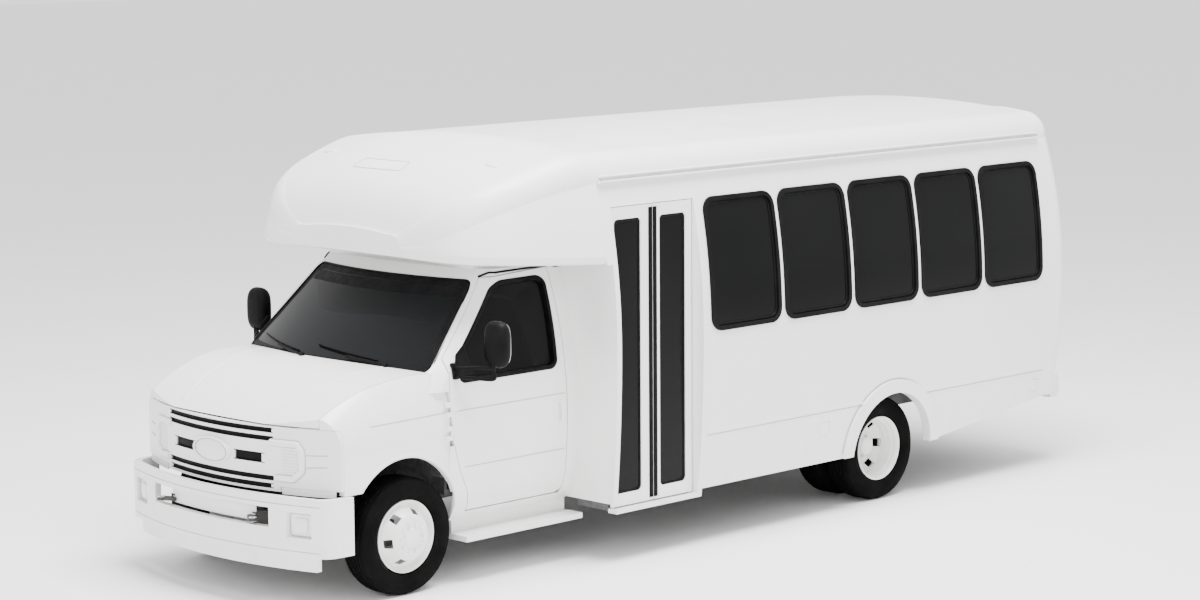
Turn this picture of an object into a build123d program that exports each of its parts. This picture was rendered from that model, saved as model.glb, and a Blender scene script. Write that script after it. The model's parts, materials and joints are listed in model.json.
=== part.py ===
from build123d import *
from math import cos, radians, sin, sqrt
import os

# Cutaway minibus: a van cab on a ladder frame, with a wide passenger body built on behind it.
# Millimetres. +X points forward, +Y to the vehicle's left, +Z up; the ground is z = 0.
# Most pieces are placed by their distance forward of the front axle: see ahead().

# ---------------------------------------------------------------- driving dimensions
WHEELBASE = 4271
FRONT_OVERHANG = 850
REAR_OVERHANG = 2129
LENGTH = FRONT_OVERHANG + WHEELBASE + REAR_OVERHANG
FRONT_AXLE_X = LENGTH / 2 - FRONT_OVERHANG

TYRE_R = 372
TYRE_WIDTH = 225
TYRE_WALL = 14
RIM_R = 203
RIM_FLANGE_R = 228
RIM_WIDTH = 168
RIM_WALL = 6
DISC_OFFSET = 145
DISC_THICK = 9
DISC_HOLES = 6
FRONT_TRACK = 1697
REAR_TRACK = 1923
BEAD_GAP = 0.3
DUAL_SPLIT = 0.5
RUNNING_GAP = 0.05

BODY_HALF_WIDTH = 1354
BODY_BULGE_Z = 1430
BODY_R_BELOW = 10300
BODY_R_ABOVE = 4200
SKIRT_BOTTOM_Z = 383
BELT_Z = 764
RAIL_Z = 2487
ROOF_TOP_Z = 2748
ROOF_SHOULDER_Y = 1080
ROOF_SHOULDER_Z = 2677
WALL = 45
BODY_FRONT_X = -1460
CAP_SEAM_X = -1410
REAR_SEAM_X = -6060
SEAM = 0.8

CAB_HALF_WIDTH = 999
CAB_BULGE_Z = 1000
CAB_R_ABOVE = 2450
CAB_R_BELOW = 3000
CAB_TUCK_Z = 620
CAB_BOTTOM_Z = 392
CAB_SKIN = 60
CAB_REAR_X = CAP_SEAM_X + 5
DOOR_GAP = 6

FLOOR_TOP_Z = 800
FLOOR_THICK = 60
CAB_PAN = 35
FRAME_TOP_Z = 570
CAB_FLOOR_Z = FRAME_TOP_Z + CAB_PAN + 0.3
FRAME_HEIGHT = 120
FRAME_HALF_WIDTH = 432
FRAME_FLANGE = 70
RAIL_WALL = 10

KINGPIN_Y = 720
KINGPIN_R = 16
STEER_ARM_BACK = 190
TIE_ROD_Z = 262

WINDOW_COUNT = 5
WINDOW_PITCH = 735
WINDOW_WIDTH = 695
WINDOW_FIRST_X = -2345
WINDOW_BOTTOM_Z = 1440
WINDOW_TOP_Z = 2330
WINDOW_CORNER = 100
WINDOW_FRAME = 32
WINDOW_PROUD = 12
GLASS = 8

DOORWAY_FRONT_X = -1500
DOORWAY_REAR_X = -2270
DOORWAY_BOTTOM_Z = 363
DOOR_JAMB_X = DOORWAY_REAR_X - 37
DOORWAY_TOP_Z = 2330
LEAF_Y = 1257
LEAF_THICK = 34
LEAF_GAP = 5
LEAF_MID_GAP = 6
LEAF_PIN_R = 8
LEAF_PIN_DEEP = 38

ARCH_TOP_Z = 790
FLARE_WIDTH = 96
FLARE_PROUD = 26

BUMPER_TOP_Z = 700
BUMPER_BOTTOM_Z = 340
BUMPER_BOW_R = 2770
FASCIA_BOW_R = 2180
FASCIA_NOSE_X = 760


# ---------------------------------------------------------------- helpers
def ahead(x):
    """X of a point given by its distance forward of the front axle."""
    return FRONT_AXLE_X + x


def block(x0, x1, y0, y1, z0, z1):
    """Box between two corners, x measured from the front axle."""
    size = Box(abs(x1 - x0), abs(y1 - y0), abs(z1 - z0))
    return Pos(ahead((x0 + x1) / 2), (y0 + y1) / 2, (z0 + z1) / 2) * size


def side_prism(points, y0, y1):
    """Outline of (x, z) points, x from the front axle, carried from y0 to y1."""
    outline = Polyline(*[(ahead(x), y0, z) for x, z in points], close=True)
    return extrude(make_face(outline), amount=y1 - y0, dir=(0, 1, 0))


def bar(start, end, radius):
    """Round bar between two points, x measured from the front axle."""
    a, b = Vector(ahead(start[0]), start[1], start[2]), Vector(ahead(end[0]), end[1], end[2])
    return extrude(Plane(origin=a, z_dir=b - a) * Circle(radius), amount=(b - a).length)


def plan_prism(points, z0, z1):
    """Outline of (x, y) points, x from the front axle, carried from z0 to z1."""
    outline = Polyline(*[(ahead(x), y, z0) for x, y in points], close=True)
    return extrude(make_face(outline), amount=z1 - z0, dir=(0, 0, 1))


def run_x(face_edges, x0, x1):
    """Closed YZ outline, given as a function of x, carried from x0 to x1."""
    return extrude(make_face(face_edges(ahead(x0))), amount=x1 - x0, dir=(1, 0, 0))


def rounded_side_prism(x0, x1, z0, z1, radius, y0, y1):
    """Rounded rectangle in side view, carried from y0 to y1."""
    plate = block(x0, x1, y0, y1, z0, z1)
    return fillet(plate.edges().filter_by(Axis.Y), radius)


def mirrored(shape):
    """The same piece on the other side of the vehicle."""
    return mirror(shape, about=Plane.XZ)


def pair(shape):
    """A piece and its mirror image, as two solids of one sub-part."""
    return Compound(children=list(shape.solids()) + list(mirrored(shape).solids()))


def bow_x(nose_x, bow_r, y):
    """x of a bowed transverse line at y, whose middle is at nose_x."""
    return nose_x - (bow_r - sqrt(bow_r**2 - y**2))


def bowed_slab(nose_x, bow_r, half_width, thick, z0, z1):
    """Vertical slab, bowed in plan, between two concentric arcs."""
    ends = bow_x(nose_x, bow_r, half_width)
    inner = bow_x(nose_x - thick, bow_r, half_width)
    outer_arc = ThreePointArc(
        (ahead(ends), -half_width, z0), (ahead(nose_x), 0, z0), (ahead(ends), half_width, z0)
    )
    inner_arc = ThreePointArc(
        (ahead(inner), half_width, z0), (ahead(nose_x - thick), 0, z0), (ahead(inner), -half_width, z0)
    )
    sides = [
        Line((ahead(ends), half_width, z0), (ahead(inner), half_width, z0)),
        Line((ahead(inner), -half_width, z0), (ahead(ends), -half_width, z0)),
    ]
    return extrude(make_face([outer_arc, inner_arc] + sides), amount=z1 - z0, dir=(0, 0, 1))


def body_y(z):
    """Half width of the barrel-sided body at height z."""
    radius = BODY_R_BELOW if z < BODY_BULGE_Z else BODY_R_ABOVE
    return BODY_HALF_WIDTH - radius + sqrt(radius**2 - (z - BODY_BULGE_Z) ** 2)


def cab_y(z):
    """Half width of the cab at height z, above its tucked-in sill."""
    radius = CAB_R_BELOW if z < CAB_BULGE_Z else CAB_R_ABOVE
    return CAB_HALF_WIDTH - radius + sqrt(radius**2 - (z - CAB_BULGE_Z) ** 2)


def curve_band(half_width, z_points, thick):
    """Edges of a band that follows half_width(z) through z_points, thick inwards."""

    def edges(x):
        found = []
        for low, high in zip(z_points, z_points[1:]):
            mid = (low + high) / 2
            for inset in (0, thick):
                ends = [(x, half_width(z) - inset, z) for z in (low, mid, high)]
                found.append(ThreePointArc(*ends))
        for z in (z_points[0], z_points[-1]):
            found.append(Line((x, half_width(z), z), (x, half_width(z) - thick, z)))
        return found

    return edges


def body_wall(x0, x1, z0, z1, thick=WALL, proud=0):
    """Left side wall of the body between two stations and two heights."""
    heights = [z0] + [z for z in (BODY_BULGE_Z,) if z0 < z < z1] + [z1]
    edges = curve_band(lambda z: body_y(z) + proud, heights, thick + proud)
    return run_x(edges, x0, x1)


CAB_TUCK = [(CAB_TUCK_Z, cab_y(CAB_TUCK_Z)), (510, 946), (CAB_BOTTOM_Z, 858)]


def cab_side_y(z):
    """Half width of the cab at height z, with its tucked-in sill."""
    if z >= CAB_TUCK_Z:
        return cab_y(z)
    (z_a, y_a), (z_b, y_b), (z_c, y_c) = CAB_TUCK
    weight_a = (z - z_b) * (z - z_c) / ((z_a - z_b) * (z_a - z_c))
    weight_b = (z - z_a) * (z - z_c) / ((z_b - z_a) * (z_b - z_c))
    weight_c = (z - z_a) * (z - z_b) / ((z_c - z_a) * (z_c - z_b))
    return y_a * weight_a + y_b * weight_b + y_c * weight_c


def cab_wall(x0, x1, z0, z1, thick=CAB_SKIN):
    """Left flank of the cab between two stations and two heights."""
    heights = [z0] + [z for z in (CAB_TUCK_Z, CAB_BULGE_Z) if z0 < z < z1] + [z1]
    return run_x(curve_band(cab_side_y, heights, thick), x0, x1)


def assembled(solids):
    """Separate solids that meet face to face, kept together as one sub-part."""
    return Compound(children=solids)


def export(name, shape):
    """Write one sub-part."""
    export_step(shape, f"parts/{name}.step")


# ---------------------------------------------------------------- wheels
def tyre(y_middle):
    """Hollow tyre, open towards its rim, with its axle along Y."""
    half = TYRE_WIDTH / 2
    bead_r = RIM_R + BEAD_GAP
    bead_y = RIM_WIDTH / 2 - BEAD_GAP
    lip_r = RIM_FLANGE_R + 4
    inner_y = bead_y - TYRE_WALL
    roof_r = TYRE_R - 2 * TYRE_WALL
    edges = [Line((0, -(half - 38), TYRE_R), (0, half - 38, TYRE_R))]
    edges.append(Line((0, -inner_y, roof_r), (0, inner_y, roof_r)))
    for side in (1, -1):

        def at(y, r):
            return (0, side * y, r)

        edges.append(Line(at(inner_y, bead_r), at(bead_y, bead_r)))
        edges.append(Line(at(bead_y, bead_r), at(bead_y, lip_r)))
        edges.append(ThreePointArc(at(bead_y, lip_r), at(half, 290), at(half - 8, TYRE_R - 34)))
        edges.append(ThreePointArc(at(half - 8, TYRE_R - 34), at(half - 17, TYRE_R - 10), at(half - 38, TYRE_R)))
        edges.append(ThreePointArc(at(inner_y, bead_r), at(half - TYRE_WALL, 280), at(inner_y, roof_r)))
    ring = revolve(make_face(edges), Axis.Y, 360)
    return Pos(0, y_middle, TYRE_R) * ring


def rim(y_middle, facing):
    """Pressed steel rim; its disc stands towards facing (+1 or -1 along Y)."""
    half = RIM_WIDTH / 2
    barrel = [
        (half, RIM_R),
        (half, RIM_FLANGE_R),
        (half + RIM_WALL, RIM_FLANGE_R),
        (half + RIM_WALL, RIM_R - RIM_WALL),
        (half - 30, RIM_R - 14),
        (-half + 30, RIM_R - 14),
        (-half - RIM_WALL, RIM_R - RIM_WALL),
        (-half - RIM_WALL, RIM_FLANGE_R),
        (-half, RIM_FLANGE_R),
        (-half, RIM_R),
        (-half + 30, RIM_R - 8),
        (half - 30, RIM_R - 8),
    ]
    disc_y = DISC_OFFSET
    disc = [
        (half - 42, RIM_R - 12),
        (half - 30, RIM_R - 12),
        (disc_y - 8, 138),
        (disc_y, 120),
        (disc_y, 62),
        (disc_y - DISC_THICK, 62),
        (disc_y - DISC_THICK, 116),
        (disc_y - 18, 134),
    ]
    solid = None
    for outline in (barrel, disc):
        edges = Polyline(*[(0, y, r) for y, r in outline], close=True)
        ring = revolve(make_face(edges), Axis.Y, 360)
        solid = ring if solid is None else solid + ring
    for index in range(DISC_HOLES):
        angle = 90 + index * 360 / DISC_HOLES
        hole = Pos(0, disc_y - 30, 158) * Rot(90, 0, 0) * Cylinder(19, 120)
        solid -= Rot(0, angle, 0) * hole
    if facing < 0:
        solid = mirror(solid, about=Plane.XZ)
    return Pos(0, y_middle, TYRE_R) * solid


def drum(y_face, depth, radius, spindle_r):
    """Hub and brake drum behind a disc whose back is at y_face, bored for its spindle."""
    hub = Pos(0, y_face - depth / 2, TYRE_R) * Rot(90, 0, 0) * Cylinder(radius, depth)
    nose = Pos(0, y_face + 20, TYRE_R) * Rot(90, 0, 0) * Cylinder(58, 44)
    bore = Pos(0, y_face - depth / 2, TYRE_R) * Rot(90, 0, 0) * Cylinder(spindle_r, depth + 2)
    return hub + nose - bore


FRONT_TYRE_Y = FRONT_TRACK / 2
REAR_MIDDLE_Y = REAR_TRACK / 2
DUAL_HALF = DISC_OFFSET + DUAL_SPLIT / 2
FRONT_HUB_Y = FRONT_TYRE_Y + DISC_OFFSET - DISC_THICK
FRONT_HUB_DEPTH = 150
FRONT_DRUM_R = 150
SPINDLE_R = 24
REAR_HUB_Y = REAR_MIDDLE_Y - DUAL_SPLIT / 2 - DISC_THICK
REAR_DRUM_DEPTH = 130
REAR_DRUM_R = 165
AXLE_END_R = 40


def wheels():
    front = Pos(ahead(0), 0, 0)
    rear = Pos(ahead(-WHEELBASE), 0, 0)
    front_rim = rim(FRONT_TYRE_Y, 1)
    front_drum = drum(FRONT_HUB_Y, FRONT_HUB_DEPTH, FRONT_DRUM_R, SPINDLE_R + RUNNING_GAP)
    rear_rims = [rim(REAR_MIDDLE_Y + DUAL_HALF, -1), rim(REAR_MIDDLE_Y - DUAL_HALF, 1)]
    rear_tyres = [tyre(REAR_MIDDLE_Y + DUAL_HALF), tyre(REAR_MIDDLE_Y - DUAL_HALF)]
    rear_drum = drum(REAR_HUB_Y, REAR_DRUM_DEPTH, REAR_DRUM_R, AXLE_END_R + RUNNING_GAP)
    sets = [
        ("tyre_front", front * tyre(FRONT_TYRE_Y)),
        ("rim_front", front * (front_rim + front_drum)),
        ("tyres_rear", rear * Compound(children=rear_tyres)),
        ("rims_rear", rear * Compound(children=[rear_rims[0], rear_rims[1] + rear_drum])),
    ]
    for name, shape in sets:
        export(f"{name}_left", shape)
        export(f"{name}_right", mirrored(shape))


# ---------------------------------------------------------------- steering
KNUCKLE_TOP_Z = TYRE_R + 80
KNUCKLE_BOTTOM_Z = TYRE_R - 80
KNUCKLE_PLATE = 25
EYE_HALF = TYRE_R - KNUCKLE_BOTTOM_Z - KNUCKLE_PLATE - 5
EYE_R = 34
KNUCKLE_WEB_Y = KINGPIN_Y + EYE_R + 8
STEER_ARM_Y = KINGPIN_Y
STEER_SWEEP_R = 405
TIE_PIN_R = 6
TIE_EYE_R = 10
TIE_OPEN_GAP = 0.6


def upright(x, y, z0, z1, radius):
    """Vertical round bar, x measured from the front axle."""
    return Pos(ahead(x), y, (z0 + z1) / 2) * Cylinder(radius, z1 - z0)


def cross_bar(x, y0, y1, z, radius):
    """Round bar across the vehicle, x measured from the front axle."""
    return Pos(ahead(x), (y0 + y1) / 2, z) * Rot(90, 0, 0) * Cylinder(radius, abs(y1 - y0))


def knuckle():
    web_y = KNUCKLE_WEB_Y
    body = block(-35, 35, web_y, web_y + 28, KNUCKLE_BOTTOM_Z, KNUCKLE_TOP_Z)
    for z0 in (KNUCKLE_BOTTOM_Z, KNUCKLE_TOP_Z - KNUCKLE_PLATE):
        body += upright(0, KINGPIN_Y, z0, z0 + KNUCKLE_PLATE, EYE_R)
        body += block(-30, 30, KINGPIN_Y, web_y + 5, z0, z0 + KNUCKLE_PLATE)
    body += upright(0, KINGPIN_Y, KNUCKLE_BOTTOM_Z, KNUCKLE_TOP_Z, KINGPIN_R)
    body += cross_bar(0, web_y + 20, FRONT_HUB_Y - 4, TYRE_R, SPINDLE_R)
    arm = [
        (22, KINGPIN_Y),
        (-22, KINGPIN_Y + 24),
        (-STEER_ARM_BACK, STEER_ARM_Y + 20),
        (-STEER_ARM_BACK, STEER_ARM_Y - 20),
    ]
    body += plan_prism(arm, KNUCKLE_BOTTOM_Z, KNUCKLE_BOTTOM_Z + KNUCKLE_PLATE)
    arm_top = KNUCKLE_BOTTOM_Z + KNUCKLE_PLATE
    body += upright(-STEER_ARM_BACK, STEER_ARM_Y, KNUCKLE_BOTTOM_Z, arm_top, TIE_EYE_R)
    body += upright(-STEER_ARM_BACK, STEER_ARM_Y, TIE_ROD_Z - 16, arm_top, TIE_PIN_R)
    return body


def tie_rod():
    rod = cross_bar(-STEER_ARM_BACK, -STEER_ARM_Y, STEER_ARM_Y, TIE_ROD_Z, 11)
    for side, gap in ((1, RUNNING_GAP), (-1, TIE_OPEN_GAP)):
        y = side * STEER_ARM_Y
        rod += upright(-STEER_ARM_BACK, y, TIE_ROD_Z - 13, TIE_ROD_Z + 13, TIE_EYE_R)
        rod -= upright(-STEER_ARM_BACK, y, TIE_ROD_Z - 20, TIE_ROD_Z + 20, TIE_PIN_R + gap)
    return rod


def front_axle():
    """Dropped beam with a kingpin eye at each end and a pad under each spring."""
    end_z = (TYRE_R - 30, TYRE_R + 30)
    drop_z = (TYRE_R - 105, TYRE_R - 35)
    outline = [
        (-KINGPIN_Y, end_z[0]),
        (-560, end_z[0]),
        (-480, drop_z[0]),
        (480, drop_z[0]),
        (560, end_z[0]),
        (KINGPIN_Y, end_z[0]),
        (KINGPIN_Y, end_z[1]),
        (540, end_z[1]),
        (440, drop_z[1]),
        (-440, drop_z[1]),
        (-540, end_z[1]),
        (-KINGPIN_Y, end_z[1]),
    ]
    face = make_face(Polyline(*[(ahead(-28), y, z) for y, z in outline], close=True))
    beam = extrude(face, amount=56, dir=(1, 0, 0))
    for side in (1, -1):
        y = side * KINGPIN_Y
        beam += upright(0, y, TYRE_R - EYE_HALF, TYRE_R + EYE_HALF, EYE_R)
        beam -= upright(0, y, TYRE_R - 100, TYRE_R + 100, KINGPIN_R + RUNNING_GAP)
        beam += upright(0, side * SPRING_Y, drop_z[0] + 20, SPRING_SEAT_Z, SPRING_R + 8)
    return beam


SPRING_Y = 496
SPRING_R = 52
SPRING_SEAT_Z = TYRE_R + 31
SPRING_TOP_Z = FRAME_TOP_Z - 20


# ---------------------------------------------------------------- chassis
RAIL_FRONT_X = bow_x(FRONT_OVERHANG - WALL, BUMPER_BOW_R - WALL, FRAME_HALF_WIDTH) - 0.3
RAIL_REAR_X = -WHEELBASE - REAR_OVERHANG + 112
FRAME_INNER = FRAME_HALF_WIDTH - FRAME_FLANGE
CROSS_STATIONS = (520, -1740, -2500, -3500, -5000, -6000)
SILL_STATIONS = (-1560, -2400, -2950, -3560, -4980, -5500, -6010)
RUNNER_TOP_Z = 640
OUTRIGGER_HALF = 1240
LEAF_Y_MIDDLE = 520
LEAF_WIDTH = 70
LEAF_HALF_LENGTH = 620
AXLE_TUBE_R = 55
TANK = dict(x0=-3440, x1=-2560, y0=455, y1=960, z0=330, z1=610)
TOW_LUG_Z = 541
TOW_LUG_Y = 465
TOW_LUG_SEAT = 80
TOW_LUG_THICK = 22
TOW_BORE_R = 12
TOW_LUG_R = 24
REAR_TOW_BORE_R = 20
REAR_TOW_Z = 435


def rail(side):
    """C-section rail with its open side inwards."""
    outer = block(RAIL_REAR_X, RAIL_FRONT_X, FRAME_INNER, FRAME_HALF_WIDTH, FRAME_TOP_Z - FRAME_HEIGHT, FRAME_TOP_Z)
    inside = block(
        RAIL_REAR_X - 1,
        RAIL_FRONT_X + 1,
        FRAME_INNER - 1,
        FRAME_HALF_WIDTH - RAIL_WALL,
        FRAME_TOP_Z - FRAME_HEIGHT + RAIL_WALL,
        FRAME_TOP_Z - RAIL_WALL,
    )
    one = outer - inside
    return one if side > 0 else mirrored(one)


def chassis_frame():
    """Rails with what is bolted and welded to them, each piece its own solid, meeting face to face."""
    solids = [rail(1), rail(-1)]
    rail_z = FRAME_TOP_Z - FRAME_HEIGHT
    half = FRAME_HALF_WIDTH - RAIL_WALL
    for x in CROSS_STATIONS:
        solids.append(block(x - 30, x + 30, -half, half, rail_z + RAIL_WALL, FRAME_TOP_Z - RAIL_WALL))
    runner_front = SILL_STATIONS[0] + 30
    runner_rear = SILL_STATIONS[-1] - 30
    for side in (1, -1):
        inner, outer = side * FRAME_INNER, side * FRAME_HALF_WIDTH
        solids.append(block(runner_rear, runner_front, inner, outer, FRAME_TOP_Z, RUNNER_TOP_Z))
        tower_y = side * (SPRING_Y + SPRING_R + 8)
        solids.append(block(-70, 70, outer, tower_y, SPRING_TOP_Z, SPRING_TOP_Z + 20))
        for reach in (1, -1):
            x = -WHEELBASE + reach * (LEAF_HALF_LENGTH - 20)
            hanger_y = side * (LEAF_Y_MIDDLE + LEAF_WIDTH / 2)
            solids.append(block(x - 30, x + 30, outer, hanger_y, LEAF_END_TOP_Z, FRAME_TOP_Z))
        solids.append(towing_lug() if side > 0 else mirrored(towing_lug()))
    step_side = STEP_INNER_Y - SEAM
    sill_top = FLOOR_TOP_Z - FLOOR_THICK
    for x in SILL_STATIONS:
        on_step = DOORWAY_REAR_X - 40 < x < DOORWAY_FRONT_X + 40
        left = step_side if on_step else OUTRIGGER_HALF
        solids.append(block(x - 30, x + 30, -OUTRIGGER_HALF, left, RUNNER_TOP_Z, sill_top))
    inner_house = WHEELHOUSE_INNER_Y - SEAM
    solids.append(block(-WHEELBASE - 30, -WHEELBASE + 30, -inner_house, inner_house, RUNNER_TOP_Z, sill_top))
    tow_x = RAIL_REAR_X - 60
    drawbar = block(tow_x, CROSS_STATIONS[-1], -60, 60, REAR_TOW_Z, rail_z + RAIL_WALL)
    drawbar -= upright(tow_x + 35, 0, REAR_TOW_Z - 1, rail_z + RAIL_WALL + 1, REAR_TOW_BORE_R)
    return assembled(solids + [drawbar])


def towing_lug():
    """Left front towing lug: a plate inside the rail's end, cranked outwards to an eye clear of the bumper."""
    z0 = TOW_LUG_Z - TOW_LUG_THICK / 2
    eye_x = FRONT_OVERHANG - TOW_LUG_R
    seat_x, seat_y = RAIL_FRONT_X - TOW_LUG_SEAT, FRAME_HALF_WIDTH - RAIL_WALL
    inner_y = FRAME_INNER + RAIL_WALL
    outline = [
        (seat_x, inner_y),
        (eye_x - 30, inner_y),
        (eye_x, TOW_LUG_Y - TOW_LUG_R),
        (eye_x, TOW_LUG_Y + TOW_LUG_R),
        (eye_x - 30, TOW_LUG_Y + TOW_LUG_R),
        (RAIL_FRONT_X + 1, seat_y),
        (seat_x, seat_y),
    ]
    lug = plan_prism(outline, z0, z0 + TOW_LUG_THICK)
    lug += upright(eye_x, TOW_LUG_Y, z0, z0 + TOW_LUG_THICK, TOW_LUG_R)
    return lug - upright(eye_x, TOW_LUG_Y, z0 - 1, z0 + TOW_LUG_THICK + 1, TOW_BORE_R)


LEAF_THICK_MIDDLE = 62
LEAF_MIDDLE_Z = TYRE_R + AXLE_TUBE_R + 12
LEAF_END_TOP_Z = LEAF_MIDDLE_Z + 90


def leaf_spring():
    """Bowed pack of leaves on top of the rear axle, thinner towards its ends."""
    x0, x1 = -WHEELBASE - LEAF_HALF_LENGTH, -WHEELBASE + LEAF_HALF_LENGTH
    y = LEAF_Y_MIDDLE - LEAF_WIDTH / 2
    end_low = LEAF_END_TOP_Z - 18
    low = ThreePointArc(
        (ahead(x0), y, end_low), (ahead(-WHEELBASE), y, LEAF_MIDDLE_Z), (ahead(x1), y, end_low)
    )
    mid_top = LEAF_MIDDLE_Z + LEAF_THICK_MIDDLE - 20
    high = ThreePointArc(
        (ahead(x1), y, LEAF_END_TOP_Z), (ahead(-WHEELBASE), y, mid_top), (ahead(x0), y, LEAF_END_TOP_Z)
    )
    ends = [Line(low @ 1, high @ 0), Line(high @ 1, low @ 0)]
    return extrude(make_face([low, high] + ends), amount=LEAF_WIDTH, dir=(0, 1, 0))


def springs():
    coil = upright(0, SPRING_Y, SPRING_SEAT_Z, SPRING_TOP_Z, SPRING_R)
    coil -= upright(0, SPRING_Y, SPRING_SEAT_Z - 1, SPRING_TOP_Z + 1, SPRING_R - 14)
    both = Compound(children=[coil, leaf_spring()])
    return pair(both)


DIFF_R = 150
SHAFT_R = 42
SHAFT_FRONT_Z = 405


def rear_axle():
    """Drive axle: tube, differential casing, spring pads and the propeller shaft ahead of it."""
    x = -WHEELBASE
    tube_end = REAR_HUB_Y - REAR_DRUM_DEPTH - 12
    axle = cross_bar(x, -tube_end, tube_end, TYRE_R, AXLE_TUBE_R)
    axle += cross_bar(x, -(REAR_HUB_Y - 8), REAR_HUB_Y - 8, TYRE_R, AXLE_END_R)
    axle += Pos(ahead(x), 0, TYRE_R) * Sphere(DIFF_R)
    for side in (1, -1):
        y = side * LEAF_Y_MIDDLE
        axle += block(x - 60, x + 60, y - 45, y + 45, TYRE_R, LEAF_MIDDLE_Z - 0.3)
    nose = (ahead(x + DIFF_R - 20), 0, TYRE_R + 8)
    start = (ahead(GEARBOX_REAR_X - 0.8), 0, SHAFT_FRONT_Z)
    run = Vector(*start) - Vector(*nose)
    shaft_plane = Plane(origin=nose, z_dir=run)
    return axle + extrude(shaft_plane * Circle(SHAFT_R), amount=run.length)


ENGINE = dict(x0=-680, x1=420, half=265, z0=460, z1=1050)
GEARBOX_REAR_X = -1700
GEARBOX_HALF = 150
GEARBOX_Z = 455
GEARBOX_TOP_Z = 560


def engine_block():
    e = ENGINE
    block_and_box = block(e["x0"], e["x1"], -e["half"], e["half"], e["z0"], e["z1"])
    low = 2 * GEARBOX_Z - GEARBOX_TOP_Z
    block_and_box += block(
        GEARBOX_REAR_X, e["x0"], -GEARBOX_HALF, GEARBOX_HALF, low, GEARBOX_TOP_Z
    )
    mount_y = FRAME_INNER
    block_and_box += block(-110, -30, -mount_y, mount_y, FRAME_TOP_Z - 60, FRAME_TOP_Z - 10)
    return block_and_box


def fuel_tank():
    t = TANK
    tank = block(t["x0"], t["x1"], t["y0"], t["y1"], t["z0"], t["z1"])
    tank = fillet(tank.edges().filter_by(Axis.Y), 60)
    for x in (t["x0"] + 150, t["x1"] - 150):
        tank += block(x - 25, x + 25, FRAME_HALF_WIDTH, t["y0"] + 20, t["z1"] - 90, t["z1"] - 50)
    return tank


PIPE_R = 30
MUFFLER_R = 88
EXHAUST_Y = -255


def exhaust():
    """Pipe with a silencer, rising over the rear axle and ending behind the bumper's line."""
    route = [
        (-1180, 395),
        (-3700, 395),
        (-3960, 500),
        (-4560, 500),
        (-4820, 400),
        (-6230, 400),
    ]
    points = [(ahead(x), EXHAUST_Y, z) for x, z in route]
    path = FilletPolyline(*points, radius=120)
    start = Plane(origin=points[0], z_dir=(-1, 0, 0))
    pipe = sweep(start * Circle(PIPE_R), path=path)
    silencer = Pos(ahead(-3000), EXHAUST_Y, 395) * Rot(0, 90, 0) * Cylinder(MUFFLER_R, 720)
    for x in (CROSS_STATIONS[1], CROSS_STATIONS[4]):
        pipe += block(x - 12, x + 12, EXHAUST_Y - 15, EXHAUST_Y + 15, 410, FRAME_TOP_Z - FRAME_HEIGHT + 10)
    return pipe + silencer


# ---------------------------------------------------------------- floor and steps
WHEELHOUSE_INNER_Y = 662
WHEELHOUSE_HALF = 460
WHEELHOUSE_TOP_Z = 930
WHEELHOUSE_WALL = 15
FLOOR_HALF = body_y(FLOOR_TOP_Z - FLOOR_THICK) - WALL - 0.5
FLOOR_FRONT_X = CAP_SEAM_X
FLOOR_REAR_X = -6160
CAB_AISLE_HALF = 755
STEP_INNER_Y = 700
STEP_MIDDLE_Y = 950
STEP_OUTER_Y = LEAF_Y - LEAF_THICK - 8
STEP_PLATE = 20
STEP_TREAD_Z = 583
STEP_FRONT_X = DOORWAY_FRONT_X - 3
STEP_REAR_X = DOORWAY_REAR_X + 3


def saloon_floor():
    """Plywood floor in plates around the steps and wheels, and the boxes over the rear wheels."""
    low, top = FLOOR_TOP_Z - FLOOR_THICK, FLOOR_TOP_Z
    inner, outer = WHEELHOUSE_INNER_Y, FLOOR_HALF
    x0, x1 = -WHEELBASE - WHEELHOUSE_HALF, -WHEELBASE + WHEELHOUSE_HALF
    jamb_x = DOOR_JAMB_X - 2
    solids = [block(FLOOR_REAR_X, FLOOR_FRONT_X, -inner, inner, low, top)]
    plates = [
        # rear and front station, inner and outer y
        (FLOOR_REAR_X, x0, inner, outer),
        (x1, jamb_x, inner, outer),
        (jamb_x, STEP_REAR_X - 1, inner, STEP_OUTER_Y - 30),
        (STEP_REAR_X - 1, STEP_FRONT_X, inner, STEP_INNER_Y - 1),
        (STEP_FRONT_X, FLOOR_FRONT_X, inner, CAB_AISLE_HALF),
        (FLOOR_REAR_X, x0, -outer, -inner),
        (x1, STEP_FRONT_X, -outer, -inner),
        (STEP_FRONT_X, FLOOR_FRONT_X, -CAB_AISLE_HALF, -inner),
    ]
    for rear, front, right, left in plates:
        solids.append(block(rear, front, right, left, low, top))
    wall, roof_z = WHEELHOUSE_WALL, WHEELHOUSE_TOP_Z - WHEELHOUSE_WALL
    for side in (1, -1):
        solids.append(block(x0, x1, side * inner, side * outer, roof_z, WHEELHOUSE_TOP_Z))
        solids.append(block(x0, x1, side * inner, side * (inner + wall), low, roof_z))
        for x in (x0, x1 - wall):
            solids.append(block(x, x + wall, side * (inner + wall), side * outer, low, roof_z))
    return assembled(solids)


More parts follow.
